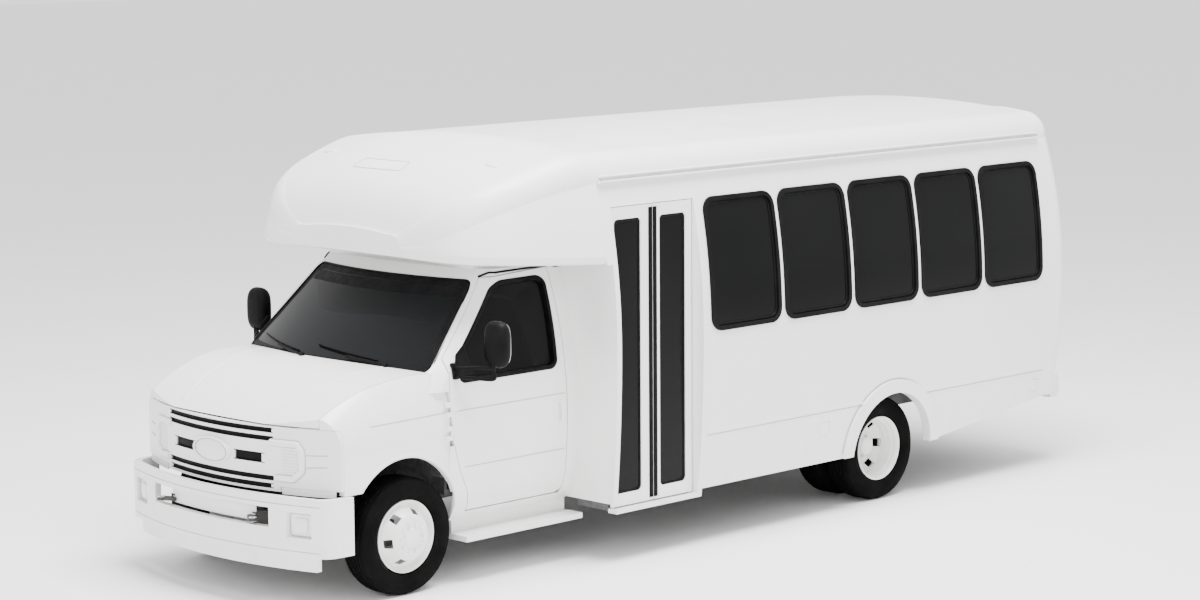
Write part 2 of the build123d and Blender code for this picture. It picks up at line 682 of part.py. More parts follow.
def step_well():
    x0, x1 = STEP_REAR_X, STEP_FRONT_X
    bottom = DOORWAY_BOTTOM_Z
    well = block(x0, x1, STEP_MIDDLE_Y, STEP_OUTER_Y, bottom - STEP_PLATE, bottom)
    well += block(x0, x1, STEP_MIDDLE_Y - STEP_PLATE, STEP_MIDDLE_Y, bottom - STEP_PLATE, STEP_TREAD_Z)
    well += block(x0, x1, STEP_INNER_Y, STEP_MIDDLE_Y, STEP_TREAD_Z - STEP_PLATE, STEP_TREAD_Z)
    well += block(x0, x1, STEP_INNER_Y, STEP_INNER_Y + STEP_PLATE, STEP_TREAD_Z, FLOOR_TOP_Z)
    for x in (x0, x1 - STEP_PLATE):
        cheek = block(x, x + STEP_PLATE, STEP_INNER_Y, STEP_OUTER_Y, bottom - STEP_PLATE, FLOOR_TOP_Z)
        low_corner = block(
            x - 1, x + STEP_PLATE + 1, STEP_INNER_Y - 1, STEP_MIDDLE_Y - STEP_PLATE, 0, STEP_TREAD_Z - STEP_PLATE
        )
        well += cheek - low_corner
    return well


# ---------------------------------------------------------------- outside hinges
BARREL_R = 8
HINGE_PIN_R = 4
BARREL_TALL = 30
BARREL_GAP = 0.3
HINGE_ROOM = 5


def barrel(x, y, z, level):
    """One segment of a hinge's barrel; level 0 is the lowest."""
    low = z + level * (BARREL_TALL + BARREL_GAP)
    return upright(x, y, low, low + BARREL_TALL, BARREL_R)


def hinge_fixed(x, y, z, strap):
    """Outer two segments with their pin; strap(low, high) joins each to its own side."""
    solid = None
    for level in (0, 2):
        low = z + level * (BARREL_TALL + BARREL_GAP)
        piece = barrel(x, y, z, level) + strap(low, low + BARREL_TALL)
        solid = piece if solid is None else solid + piece
    return solid + upright(x, y, z, z + 3 * BARREL_TALL + 2 * BARREL_GAP, HINGE_PIN_R)


def hinge_notch(x, y, z):
    """Room that either side leaves for the other's segments."""
    tall = 3 * BARREL_TALL + 2 * BARREL_GAP
    return upright(x, y, z - HINGE_ROOM, z + tall + HINGE_ROOM, BARREL_R + HINGE_ROOM)


def hinge_moving(x, y, z, strap):
    """Middle segment, bored for the pin, with its strap."""
    low = z + BARREL_TALL + BARREL_GAP
    piece = barrel(x, y, z, 1) + strap(low, low + BARREL_TALL)
    return piece - upright(x, y, low - 1, low + BARREL_TALL + 1, HINGE_PIN_R + RUNNING_GAP)


# ---------------------------------------------------------------- cab
GLASSHOUSE = [
    # height, front middle x, screen corner x and y, pillar x
    dict(z=1250, nose=108, corner_x=-134, corner_y=920, pillar_x=-262),
    dict(z=1600, nose=-312, corner_x=-481, corner_y=823, pillar_x=-560),
    dict(z=1950, nose=-732, corner_x=-827, corner_y=725, pillar_x=-905),
]
CAB_ROOF_Z = 1950
CAB_RAIL_Z = 1915
DOOR_OUTLINE = [
    (-530, 455),
    (-493, 592),
    (-419, 742),
    (-358, 937),
    (-344, 1105),
    (-344, 1266),
    (-356, 1432),
    (-400, 1550),
    (-795, 1900),
    (-1345, 1925),
    (-1350, 490),
    (-1310, 455),
]
DOOR_WINDOW = [
    (-452, 1302),
    (-446, 1450),
    (-815, 1826),
    (-905, 1862),
    (-1236, 1868),
    (-1284, 1836),
    (-1268, 1332),
    (-1235, 1302),
]
SCREEN = [(-876, 1372), (-736, 1876), (736, 1876), (876, 1372)]
DOOR_HINGE = (-341, CAB_HALF_WIDTH + 3)
DOOR_HINGE_Z = (940, 1090)


def section_at(level, inset, top_inset=0):
    """One level of the glasshouse: bowed screen, pillars, sides and an open back."""
    z = level["z"] - (top_inset if level["z"] > CAB_ROOF_Z - 1 else 0)
    nose, corner_x, corner_y = level["nose"] - inset, level["corner_x"] - inset, level["corner_y"] - inset / 2
    pillar_x, side_y = level["pillar_x"] - inset, cab_y(z) - inset
    rear_x = CAB_REAR_X - (inset if inset > 0 else 0)
    arc = ThreePointArc(
        (ahead(corner_x), corner_y, z), (ahead(nose), 0, z), (ahead(corner_x), -corner_y, z)
    )
    path = [(corner_x, -corner_y), (pillar_x, -side_y), (rear_x, -side_y)]
    path += [(x, -y) for x, y in reversed(path)]
    points = [(ahead(x), y, z) for x, y in path]
    return make_face([arc] + [Line(a, b) for a, b in zip(points, points[1:])])


def glasshouse(inset, top_inset=0):
    """Volume of the cab above its waist, drawn in by inset."""
    return loft([section_at(level, inset, top_inset) for level in GLASSHOUSE])


def front_view_prism(points, x0, x1):
    """Outline of (y, z) points carried between two stations."""
    outline = Polyline(*[(ahead(x0), y, z) for y, z in points], close=True)
    return extrude(make_face(outline), amount=x1 - x0, dir=(1, 0, 0))


def door_prism(points, grow, y0=500, y1=1200):
    """Side-view outline grown by a gap and carried through the cab's flank."""
    face = make_face(Polyline(*[(ahead(x), y0, z) for x, z in points], close=True))
    if grow:
        face = offset(face, amount=grow)
    return extrude(face, amount=y1 - y0, dir=(0, 1, 0))


def door_recess():
    """Depth of the cab's flank that the door and its gap take up."""
    proud = 30

    def outer_y(z):
        return cab_side_y(z) + proud

    return run_x(curve_band(outer_y, [1200, 1960], proud + CAB_SKIN + DOOR_GAP), -1400, -250)


def pillar_wedge():
    """Space ahead of the screen pillar's chamfer."""
    sections = []
    for level in GLASSHOUSE:
        z, corner_x, corner_y = level["z"], level["corner_x"], level["corner_y"]
        run, spread = level["pillar_x"] - corner_x, cab_y(z) - corner_y
        front = (ahead(corner_x - 0.6 * run), corner_y - 0.6 * spread, z)
        rear = (ahead(corner_x + 1.5 * run), corner_y + 1.5 * spread, z)
        sections.append(make_face(Polyline(front, rear, (front[0], rear[1], z), close=True)))
    return loft(sections)


def cab_frame():
    """Roof, screen surround and pillars above the waist."""
    frame = glasshouse(0) - glasshouse(55, 40)
    frame -= front_view_prism(SCREEN, -1000, 300)
    opening = door_prism(DOOR_OUTLINE, DOOR_GAP) & door_recess()
    behind = block(CAB_REAR_X - 60, B_PILLAR_FRONT_X, -1200, 1200, 1200, CAB_RAIL_Z)
    return frame - opening - mirrored(opening) - behind


def windshield():
    pane = glasshouse(4) - glasshouse(4 + GLASS)
    grown = [(y - 0.5 * (1 if y > 0 else -1), z + (0.5 if z < 1500 else -0.5)) for y, z in SCREEN]
    return pane & front_view_prism(grown, -1000, 300)


def cab_door():
    slab = cab_wall(-1360, -300, 450, 1940)
    door = (slab & door_prism(DOOR_OUTLINE, 0)) - door_prism(DOOR_WINDOW, 0)
    door -= pillar_wedge()
    x, y = DOOR_HINGE
    for z in DOOR_HINGE_Z:
        door -= hinge_notch(x, y, z)
        door += hinge_moving(x, y, z, lambda low, high: block(x - 45, x - 2, y - 20, y + 3, low, high))
    return door


def cab_door_glass():
    def pane_y(z):
        return cab_side_y(z) - 22

    pane = run_x(curve_band(pane_y, [1290, 1900], GLASS), -1300, -430)
    return pane & door_prism(DOOR_WINDOW, -0.4)


MIRROR = dict(x=-564, y=1187, z=1541, wide=190, tall=300, deep=110)


def door_mirror():
    """Shell on a looped arm, footed at the window's front lower corner."""
    m = MIRROR
    half = m["deep"] / 2
    shell = block(
        m["x"] - half, m["x"] + half, m["y"] - m["wide"] / 2, m["y"] + m["wide"] / 2,
        m["z"] - m["tall"] / 2, m["z"] + m["tall"] / 2,
    )
    shell = fillet(shell.edges().filter_by(Axis.X), 50)
    shell = fillet(shell.faces().sort_by(Axis.X)[-1].edges(), 35)
    low, high = 1335, 1390
    foot_x = (DOOR_WINDOW[0][0] + DOOR_OUTLINE[5][0]) / 2
    foot_y = cab_side_y(high)
    foot = block(foot_x - 30, foot_x + 30, foot_y - 12, foot_y + 24, low - 25, high + 25)
    for z in (low, high):
        foot += bar((foot_x, foot_y + 10, z), (m["x"] + 35, m["y"], z), 12)
    foot += upright(m["x"] + 35, m["y"], low - 12, m["z"] - 100, 12)
    return shell + foot - cab_wall(-700, -300, 1200, 1600, CAB_SKIN + 200)


# ---------------------------------------------------------------- nose
NOSE = [
    # station, flank half width, shoulder y and z, crown z
    dict(x=-338, side=983, shoulder_y=900, shoulder_z=1362, crown_z=1400),
    dict(x=0, side=981, shoulder_y=890, shoulder_z=1362, crown_z=1392),
    dict(x=350, side=978, shoulder_y=862, shoulder_z=1290, crown_z=1318),
    dict(x=560, side=966, shoulder_y=846, shoulder_z=1192, crown_z=1226),
    dict(x=780, side=935, shoulder_y=800, shoulder_z=1040, crown_z=1075),
]
NOSE_BOTTOM_Z = 440
NOSE_WAIST_Z = 950
NOSE_SKIN = 38
FASCIA_TOP_Z = 1108
HOOD_LIP_Z = 1118
GRILLE_HALF = 568
LAMP_BOTTOM_Z = 735
LAMP_REAR_X = 515
ARCH_FRONT = dict(x=30, z=440, r=435)
FENDER_FRONT_Z = 704
HEEL_TOP_Z = 900
HEEL_SKIN = 30
HEEL_CLEAR_R = 450
HEEL_CLEAR_Z = 600
HOOD_OUTLINE = [(-260, 893), (0, 884), (350, 856), (560, 838), (800, 800)]


def nose_section(station, inset):
    x = ahead(station["x"])
    side = station["side"] - inset
    shoulder = (station["shoulder_y"] - inset * 0.6, station["shoulder_z"] - inset)
    bottom = NOSE_BOTTOM_Z - (100 if inset else 0)
    low_side = side - 8
    waist_mid = (NOSE_BOTTOM_Z + NOSE_WAIST_Z) / 2
    mid_y = (side + shoulder[0]) / 2 + (side - shoulder[0]) * 0.28
    mid_z = (NOSE_WAIST_Z + shoulder[1]) / 2 + (shoulder[1] - NOSE_WAIST_Z) * 0.10
    edges = [Line((x, -low_side, bottom), (x, low_side, bottom))]
    for s in (1, -1):
        waist = (x, s * side, NOSE_WAIST_Z)
        edges.append(ThreePointArc((x, s * low_side, bottom), (x, s * (side + 1), waist_mid + 60), waist))
        edges.append(ThreePointArc(waist, (x, s * mid_y, mid_z), (x, s * shoulder[0], shoulder[1])))
    edges.append(
        ThreePointArc(
            (x, shoulder[0], shoulder[1]), (x, 0, station["crown_z"] - inset), (x, -shoulder[0], shoulder[1])
        )
    )
    return make_face(edges)


def nose_volume(inset):
    """Body of hood, fenders and lamps, drawn in by inset, with its bowed front."""
    body = loft([nose_section(station, inset) for station in NOSE])
    front = bowed_slab(FASCIA_NOSE_X - inset, FASCIA_BOW_R - inset, 1100, 2000, 200, 1600)
    return body & front


def nose_shell():
    return nose_volume(0) - nose_volume(NOSE_SKIN)


def hood_prism(grow):
    right = [(x, -(y + grow)) for x, y in HOOD_OUTLINE]
    left = [(x, y + grow) for x, y in reversed(HOOD_OUTLINE)]
    return plan_prism(right + left, HOOD_LIP_Z - grow, 1600)


def hood(shell):
    return (shell & hood_prism(0)) - glasshouse(-8)


def fenders(shell):
    """Both front fenders, from the lamps back to the doors, open over the wheels."""
    arch_x, arch_z, arch_r = ARCH_FRONT["x"], ARCH_FRONT["z"], ARCH_FRONT["r"]
    skin = shell - hood_prism(DOOR_GAP) - glasshouse(-1)
    skin -= cross_bar(arch_x, -1200, 1200, arch_z, arch_r)
    skin -= block(arch_x - arch_r, 1000, -1200, 1200, 200, arch_z)
    skin -= block(arch_x, 1000, -1200, 1200, 200, FENDER_FRONT_Z)
    skin -= block(LAMP_REAR_X - 2, 1000, -1200, 1200, 200, FASCIA_TOP_Z + 2)
    skin -= block(-400, 1000, -850, 850, 200, FASCIA_TOP_Z)
    opening = door_prism(DOOR_OUTLINE, DOOR_GAP)
    skin -= opening + mirrored(opening)
    skin -= block(-400, 1000, -700, 700, 200, 1600)
    heel = cab_wall(-520 + SEAM, NOSE[0]["x"] + 8, CAB_BOTTOM_Z, HEEL_TOP_Z, HEEL_SKIN)
    heel -= opening + cross_bar(arch_x, 500, 1200, arch_z, arch_r)
    heel -= upright(0, KINGPIN_Y, 200, HEEL_CLEAR_Z, HEEL_CLEAR_R)
    skin += heel + mirrored(heel)
    x, y = DOOR_HINGE
    for z in DOOR_HINGE_Z:
        notch = hinge_notch(x, y, z)
        skin = skin - notch - mirrored(notch)
        fixed = hinge_fixed(x, y, z, lambda low, high: block(x + 2, x + 45, y - 30, y + 3, low, high))
        skin += fixed + mirrored(fixed)
    return skin


def headlamps(shell):
    left = shell & block(LAMP_REAR_X, 900, GRILLE_HALF + SEAM, 1100, LAMP_BOTTOM_Z, FASCIA_TOP_Z)
    return pair(left)


GRILLE_BOTTOM_Z = 705
GRILLE_SLOTS = [
    # height of the slot's middle, its height, inner and outer half width
    dict(z=1082, tall=24, inner=0, outer=510),
    dict(z=1030, tall=24, inner=0, outer=520),
    dict(z=905, tall=52, inner=205, outer=430),
    dict(z=785, tall=22, inner=0, outer=520),
    dict(z=737, tall=22, inner=0, outer=500),
]
BADGE_Z = 908
BADGE_HALF_WIDTH = 178
BADGE_HALF_HEIGHT = 80
BADGE_THICK = 36


def grille():
    """Bowed grille with slots through it and a plain oval boss."""
    bars = bowed_slab(FASCIA_NOSE_X, FASCIA_BOW_R, GRILLE_HALF, NOSE_SKIN, GRILLE_BOTTOM_Z, FASCIA_TOP_Z)
    for slot in GRILLE_SLOTS:
        z0, z1 = slot["z"] - slot["tall"] / 2, slot["z"] + slot["tall"] / 2
        if slot["inner"] == 0:
            bars -= block(500, 900, -slot["outer"], slot["outer"], z0, z1)
            continue
        bars -= block(500, 900, slot["inner"], slot["outer"], z0, z1)
        bars -= block(500, 900, -slot["outer"], -slot["inner"], z0, z1)
    face = Plane(origin=(ahead(FASCIA_NOSE_X - 20), 0, BADGE_Z), x_dir=(0, 1, 0), z_dir=(1, 0, 0))
    oval = face * Ellipse(BADGE_HALF_WIDTH, BADGE_HALF_HEIGHT)
    return bars + extrude(oval, amount=BADGE_THICK)


RADIATOR_X = 560


def radiator():
    """Core and the panel that carries it, the grille, lamps and fenders."""
    core_half = FRAME_INNER - 8
    core = block(RADIATOR_X - 60, RADIATOR_X, -core_half, core_half, FRAME_TOP_Z + 8, 1070)
    seat = NOSE_SKIN + 0.3
    panel = bowed_slab(
        FASCIA_NOSE_X - seat, FASCIA_BOW_R - seat, 870, 60, LAMP_BOTTOM_Z + 5, FASCIA_TOP_Z - 20
    )
    window = block(400, 900, -515, 515, LAMP_BOTTOM_Z + 30, FASCIA_TOP_Z - 40)
    panel -= window
    for side in (1, -1):
        y0, y1 = side * FRAME_INNER, side * FRAME_HALF_WIDTH
        panel += block(RADIATOR_X - 40, 660, y0, y1, FRAME_TOP_Z, LAMP_BOTTOM_Z + 30)
        fender_y = NOSE[3]["side"] - NOSE_SKIN - 6
        panel += block(430, 500, side * 850, side * fender_y, 960, 1000)
        panel += block(RADIATOR_X - 40, RADIATOR_X, side * (core_half - 1), y1, FRAME_TOP_Z, 900)
    return core + panel


BUMPER_HALF = 1003
BUMPER_REAR_X = 470
BUMPER_CORNER_Y = 900
LIP_BOTTOM_Z = 245
BUMPER_SLOT = dict(half=574, z0=503, z1=625)
FOG_POCKET = dict(y0=705, y1=880, z0=455, z1=610, deep=30)


def bumper_plan(inset, z0, z1):
    nose, bow = FRONT_OVERHANG - inset, BUMPER_BOW_R - inset
    corner_y, side_y = BUMPER_CORNER_Y - inset, BUMPER_HALF - inset
    corner_x = bow_x(nose, bow, corner_y)
    rear_x = BUMPER_REAR_X - (1 if inset else 0)
    turn_x, turn_y = corner_x - 100, side_y - 8
    edges = [ThreePointArc((ahead(corner_x), -corner_y, z0), (ahead(nose), 0, z0), (ahead(corner_x), corner_y, z0))]
    for s in (1, -1):
        bend = (ahead(corner_x - 38), s * (corner_y + 68), z0)
        edges.append(ThreePointArc((ahead(corner_x), s * corner_y, z0), bend, (ahead(turn_x), s * turn_y, z0)))
        edges.append(Line((ahead(turn_x), s * turn_y, z0), (ahead(rear_x), s * side_y, z0)))
    edges.append(Line((ahead(rear_x), side_y, z0), (ahead(rear_x), -side_y, z0)))
    return extrude(make_face(edges), amount=z1 - z0, dir=(0, 0, 1))


def front_bumper():
    shell = bumper_plan(0, BUMPER_BOTTOM_Z, BUMPER_TOP_Z) - bumper_plan(WALL, BUMPER_BOTTOM_Z - 1, BUMPER_TOP_Z + 1)
    slot, fog = BUMPER_SLOT, FOG_POCKET
    shell -= block(600, 900, -slot["half"], slot["half"], slot["z0"], slot["z1"])
    face = bowed_slab(FRONT_OVERHANG + 1, BUMPER_BOW_R + 1, 1100, fog["deep"], fog["z0"], fog["z1"])
    for side in (1, -1):
        shell -= face & block(500, 900, side * fog["y0"], side * fog["y1"], fog["z0"], fog["z1"])
    lip = bowed_slab(FRONT_OVERHANG - 35, BUMPER_BOW_R - 35, 880, 40, LIP_BOTTOM_Z, BUMPER_BOTTOM_Z + 20)
    return shell + lip


# ---------------------------------------------------------------- cab interior and bulkhead
B_PILLAR_FRONT_X = -1350 - DOOR_GAP
BULKHEAD_TOP_Z = 1968
BULKHEAD_DEPTH = 520
CAB_INNER_HALF = 900
FIREWALL_X = -330
WELL_TOP_Z = 690
WELL_WALL = 18


def front_bulkhead():
    """Cab rear pillar, and the wall that steps out from it to the wide body."""
    pillar = cab_wall(BODY_FRONT_X - 2, B_PILLAR_FRONT_X, CAB_BOTTOM_Z, CAB_RAIL_Z - 0.3)
    sill = cab_wall(BODY_FRONT_X - 2, -520, CAB_BOTTOM_Z, 446)
    sill -= door_prism(DOOR_OUTLINE, DOOR_GAP)
    step = body_wall(DOORWAY_FRONT_X, BODY_FRONT_X, 400, BULKHEAD_TOP_Z, BULKHEAD_DEPTH)
    side_return = body_wall(DOORWAY_FRONT_X, CAP_SEAM_X - SEAM, BULKHEAD_TOP_Z, RAIL_Z - SEAM)
    ledge = body_wall(BODY_FRONT_X - 2, CAP_SEAM_X - SEAM, BULKHEAD_TOP_Z, BULKHEAD_TOP_Z + 22, BULKHEAD_DEPTH)
    step = step + side_return + ledge
    return pair(pillar + sill + step)


def cab_floor():
    """Floor pan, engine cover and the bulkhead between cab and engine."""
    low = CAB_FLOOR_Z - CAB_PAN
    e = ENGINE
    cover_half = e["half"] + 60
    cover_rear = e["x0"] - 60
    cover_top = e["z1"] + 25
    floor = block(CAP_SEAM_X + 2, FIREWALL_X, -CAB_INNER_HALF, CAB_INNER_HALF, low, CAB_FLOOR_Z)
    floor += block(FIREWALL_X - 20, FIREWALL_X, -CAB_INNER_HALF, CAB_INNER_HALF, low, 1240)
    floor += block(cover_rear, FIREWALL_X, -cover_half, cover_half, low, cover_top)
    floor -= block(
        cover_rear + 20, FIREWALL_X + 1, -cover_half + 20, cover_half - 20, low - 1, cover_top - 20
    )
    riser_half = cab_side_y(CAB_TUCK_Z) - CAB_SKIN - 0.3
    riser_x = CAP_SEAM_X + 2
    floor += block(riser_x, riser_x + 20, -CAB_INNER_HALF, CAB_INNER_HALF, CAB_FLOOR_Z, FLOOR_TOP_Z)
    floor += block(riser_x, riser_x + 20, -riser_half, riser_half, CAB_TUCK_Z, FLOOR_TOP_Z)
    cowl_top = GLASSHOUSE[0]["z"] - 0.3
    cowl = extrude(section_at(GLASSHOUSE[0], 2), amount=32, dir=(0, 0, -1))
    cowl &= block(FIREWALL_X - 1, 400, -CAB_HALF_WIDTH, CAB_HALF_WIDTH, cowl_top - 26, cowl_top)
    inside_fenders = nose_volume(NOSE_SKIN + 0.3)
    floor += cowl & inside_fenders
    floor += block(FIREWALL_X - 20, FIREWALL_X, -CAB_INNER_HALF, CAB_INNER_HALF, 1200, cowl_top)
    flange = block(FIREWALL_X - 6, FIREWALL_X, -CAB_HALF_WIDTH, CAB_HALF_WIDTH, 1000, 1180)
    flange -= block(FIREWALL_X - 7, FIREWALL_X + 1, 1 - CAB_INNER_HALF, CAB_INNER_HALF - 1, 999, 1181)
    for side in (1, -1):
        y = side * KINGPIN_Y
        well = upright(0, y, low, WELL_TOP_Z + WELL_WALL, STEER_SWEEP_R + WELL_WALL)
        hollow = upright(0, y, low - 1, WELL_TOP_Z, STEER_SWEEP_R)
        floor += well & block(-600, FIREWALL_X, -CAB_INNER_HALF, CAB_INNER_HALF, low, WELL_TOP_Z + WELL_WALL)
        floor -= hollow
    return floor + (flange & inside_fenders)


STEERING = dict(x=-745, y=-450, z=1250, lean=38, r=195, grip=14)
COLUMN_SHAFT_R = 15
COLUMN_LENGTH = 330


def steering_plane(back):
    """Plane square to the steering column, set back along it from the wheel."""
    s = STEERING
    normal = Vector(-cos(radians(s["lean"])), 0, sin(radians(s["lean"])))
    origin = Vector(ahead(s["x"]), s["y"], s["z"]) - normal * back
    return Plane(origin=origin, z_dir=normal)


def steering_wheel():
    s = STEERING
    plane = steering_plane(0)
    wheel = plane * Torus(s["r"], s["grip"])
    wheel += plane * Cylinder(48, 44)
    for angle in (0, 120, 240):
        spoke = Rot(0, 0, angle + 90) * Pos(s["r"] / 2, 0, 0) * Box(s["r"] - 6, 34, 12)
        wheel += plane * spoke
    shaft = extrude(steering_plane(COLUMN_LENGTH - 40) * Circle(COLUMN_SHAFT_R), amount=COLUMN_LENGTH - 50)
    return wheel + shaft


def dashboard():
    """Dashboard with the steering column's housing."""
    top = [
        (FIREWALL_X - 21, 880),
        (FIREWALL_X - 21, 1238),
        (-520, 1238),
        (-610, 1190),
        (-600, 1040),
        (-470, 880),
    ]
    panel = side_prism(top, -CAB_INNER_HALF + 15, CAB_INNER_HALF - 15)
    cover_half = ENGINE["half"] + 62
    panel -= block(-900, FIREWALL_X, -cover_half, cover_half, 600, ENGINE["z1"] + 27)
    tube = extrude(steering_plane(COLUMN_LENGTH) * Circle(36), amount=COLUMN_LENGTH - 60)
    bore = extrude(steering_plane(COLUMN_LENGTH) * Circle(COLUMN_SHAFT_R + RUNNING_GAP), amount=COLUMN_LENGTH)
    return panel + tube - bore


RUNNING_BOARD = dict(x0=-1470, x1=-445, y0=770, y1=1010, z0=272, z1=308, riser_y=815)


def running_boards():
    b = RUNNING_BOARD
    board = block(b["x0"], b["x1"], b["y0"], b["y1"], b["z0"], b["z1"])
    board += block(b["x0"] + 10, b["x1"] - 15, b["riser_y"], b["riser_y"] + 35, b["z1"], CAB_BOTTOM_Z - 0.3)
    return pair(board)


# ---------------------------------------------------------------- passenger body
CAP_STATIONS = [
    # station, lower edge z, half width there, shoulder y and z, crown edge y and z, crown z
    dict(x=CAP_SEAM_X, low_z=1970, wide=1320, side=(1222, 2487), edge=(1080, 2677), top=2748),
    dict(x=-1000, low_z=1992, wide=1232, side=(1160, 2420), edge=(1000, 2618), top=2702),
    dict(x=-700, low_z=2012, wide=1165, side=(1090, 2340), edge=(920, 2520), top=2612),
    dict(x=-500, low_z=2028, wide=1035, side=(965, 2250), edge=(800, 2405), top=2484),
    dict(x=-400, low_z=2040, wide=850, side=(800, 2170), edge=(640, 2285), top=2340),
    dict(x=-345, low_z=2055, wide=560, side=(530, 2125), edge=(410, 2190), top=2215),
]
CAP_SKIN = 40
CAP_ROUND = 55


def cap_section(station, inset):
    x = ahead(station["x"] - inset)
    low = station["low_z"] + inset
    wide = station["wide"] - inset
    (side_y, side_z), (edge_y, edge_z) = station["side"], station["edge"]
    side_y, edge_y, edge_z = side_y - inset, edge_y - inset * 0.6, edge_z - inset
    top = station["top"] - inset
    edges = [Line((x, -(wide - CAP_ROUND), low), (x, wide - CAP_ROUND, low))]
    for s in (1, -1):
        foot = (x, s * (wide - CAP_ROUND), low)
        heel = (x, s * wide, low + CAP_ROUND)
        bend = (x, s * (wide - CAP_ROUND * 0.29), low + CAP_ROUND * 0.29)
        edges.append(ThreePointArc(foot, bend, heel))
        shoulder = (x, s * side_y, side_z)
        flank = (x, s * ((wide + side_y) / 2 + 6), (low + CAP_ROUND + side_z) / 2)
        edges.append(ThreePointArc(heel, flank, shoulder))
        edge = (x, s * edge_y, edge_z)
        corner_y = (side_y + edge_y) / 2 + (side_y - edge_y) * 0.24
        corner_z = (side_z + edge_z) / 2 + (edge_z - side_z) * 0.16
        edges.append(ThreePointArc(shoulder, (x, s * corner_y, corner_z), edge))
    edges.append(ThreePointArc((x, edge_y, edge_z), (x, 0, top), (x, -edge_y, edge_z)))
    return make_face(edges)


def cap_volume(inset):
    return loft([cap_section(station, inset) for station in CAP_STATIONS])


def front_cap():
    """Hollow nose of the body over the cab, closed below by a soffit on the cab's roof."""
    opening = dict(CAP_STATIONS[0])
    rear_plug = extrude(cap_section(opening, CAP_SKIN), amount=CAP_SKIN + 2, dir=(1, 0, 0))
    shell = cap_volume(0) - cap_volume(CAP_SKIN) - rear_plug
    plinth = block(CAB_REAR_X, -800, -705, 705, CAB_ROOF_Z + 0.3, 2030)
    return shell + plinth


def roof_edges(inset):
    """Outline of the roof in cross-section, drawn in by inset."""

    def edges(x):
        low = (body_y(RAIL_Z) + 3 - inset, RAIL_Z)
        shoulder = (ROOF_SHOULDER_Y - inset * 0.6, ROOF_SHOULDER_Z - inset)
        corner = (1190 - inset * 0.9, 2605 - inset * 0.6)
        found = [ThreePointArc((x, shoulder[0], shoulder[1]), (x, 0, ROOF_TOP_Z - inset), (x, -shoulder[0], shoulder[1]))]
        for s in (1, -1):
            found.append(ThreePointArc((x, s * low[0], low[1]), (x, s * corner[0], corner[1]), (x, s * shoulder[0], shoulder[1])))
        found.append(Line((x, -low[0], low[1]), (x, low[0], low[1])))
        return found

    return edges


ROOF_SKIN = 40
DRIP = dict(deep=20, tall=24)


def roof():
    x0, x1 = REAR_SEAM_X + SEAM, CAP_SEAM_X - SEAM
    shell = run_x(roof_edges(0), x0, x1) - run_x(roof_edges(ROOF_SKIN), x0 - 1, x1 + 1)
    y = body_y(RAIL_Z) + 3
    for s in (1, -1):
        shell += block(x0, x1, s * (y - 30), s * (y + DRIP["deep"]), RAIL_Z, RAIL_Z + DRIP["tall"])
    return shell


def window_spans(side):
    """Front and rear edge of each window on one side; the right side has one more, ahead."""
    first = 0 if side == "left" else -1
    starts = [WINDOW_FIRST_X - index * WINDOW_PITCH for index in range(first, WINDOW_COUNT)]
    return [(start, start - WINDOW_WIDTH) for start in starts]


def window_prism(span, shrink):
    x1, x0 = span[0] - shrink, span[1] + shrink
    radius = WINDOW_CORNER - shrink
    return rounded_side_prism(x0, x1, WINDOW_BOTTOM_Z + shrink, WINDOW_TOP_Z - shrink, radius, 1000, 1500)


def side_panel(side):
    """Upper side wall with its windows cut."""
    front = DOOR_JAMB_X - SEAM if side == "left" else DOORWAY_FRONT_X - SEAM
    wall = body_wall(REAR_SEAM_X + SEAM, front, BELT_Z + SEAM, RAIL_Z - SEAM)
    for span in window_spans(side):
        wall -= window_prism(span, 0)
    arch = cross_bar(-WHEELBASE, 900, 1500, ARCH_CENTRE_Z, ARCH_R + FLARE_WIDTH)
    wall -= arch
    return wall if side == "left" else mirrored(wall)


def window_set(piece):
    """The same piece of every window, on both sides."""
    found = []
    for side in ("left", "right"):
        for span in window_spans(side):
            one = piece(span)
            found.append(one if side == "left" else mirrored(one))
    return Compound(children=found)


def window_frame(span):
    band = body_wall(span[1] - 5, span[0] + 5, WINDOW_BOTTOM_Z - 5, WINDOW_TOP_Z + 5, WALL, WINDOW_PROUD)
    return (band & window_prism(span, 0.3)) - window_prism(span, WINDOW_FRAME)


def window_pane(span):
    def pane_y(z):
        return body_y(z) - 6

    heights = [WINDOW_BOTTOM_Z, WINDOW_TOP_Z]
    pane = run_x(curve_band(pane_y, heights, GLASS), span[1], span[0])
    return pane & window_prism(span, WINDOW_FRAME + 0.3)


ARCH_CENTRE_Z = TYRE_R - 10
ARCH_R = ARCH_TOP_Z - ARCH_CENTRE_Z
SKIRT_RISE_Z = 543


def skirt(front):
    """Lower side wall with the wheel opening and its raised flare, left side."""
    x0 = REAR_SEAM_X + SEAM
    wall = body_wall(x0, front, SKIRT_BOTTOM_Z, BELT_Z)
    x = -WHEELBASE
    ring = body_wall(x - 600, x + 600, SKIRT_BOTTOM_Z, BODY_BULGE_Z - 200, WALL, FLARE_PROUD)
    ring &= cross_bar(x, 900, 1500, ARCH_CENTRE_Z, ARCH_R + FLARE_WIDTH - SEAM)
    wall += ring
    wall -= cross_bar(x, 900, 1500, ARCH_CENTRE_Z, ARCH_R)
    wall -= block(x - ARCH_R, x + ARCH_R, 900, 1500, 200, ARCH_CENTRE_Z)
    rise = [(x0 - 1, 300), (x0 - 1, SKIRT_RISE_Z), (x - ARCH_R - 60, SKIRT_BOTTOM_Z), (x - ARCH_R - 60, 300)]
    wall -= side_prism(rise, 900, 1500)
    half = ARCH_R + FLARE_WIDTH + 20
    runs = [(x0 - 1, x - half), (x - half, x), (x, x + half), (x + half, front + 1)]
    return [wall & block(rear, ahead_end, 900, 1500, 300, BODY_BULGE_Z) for rear, ahead_end in runs]


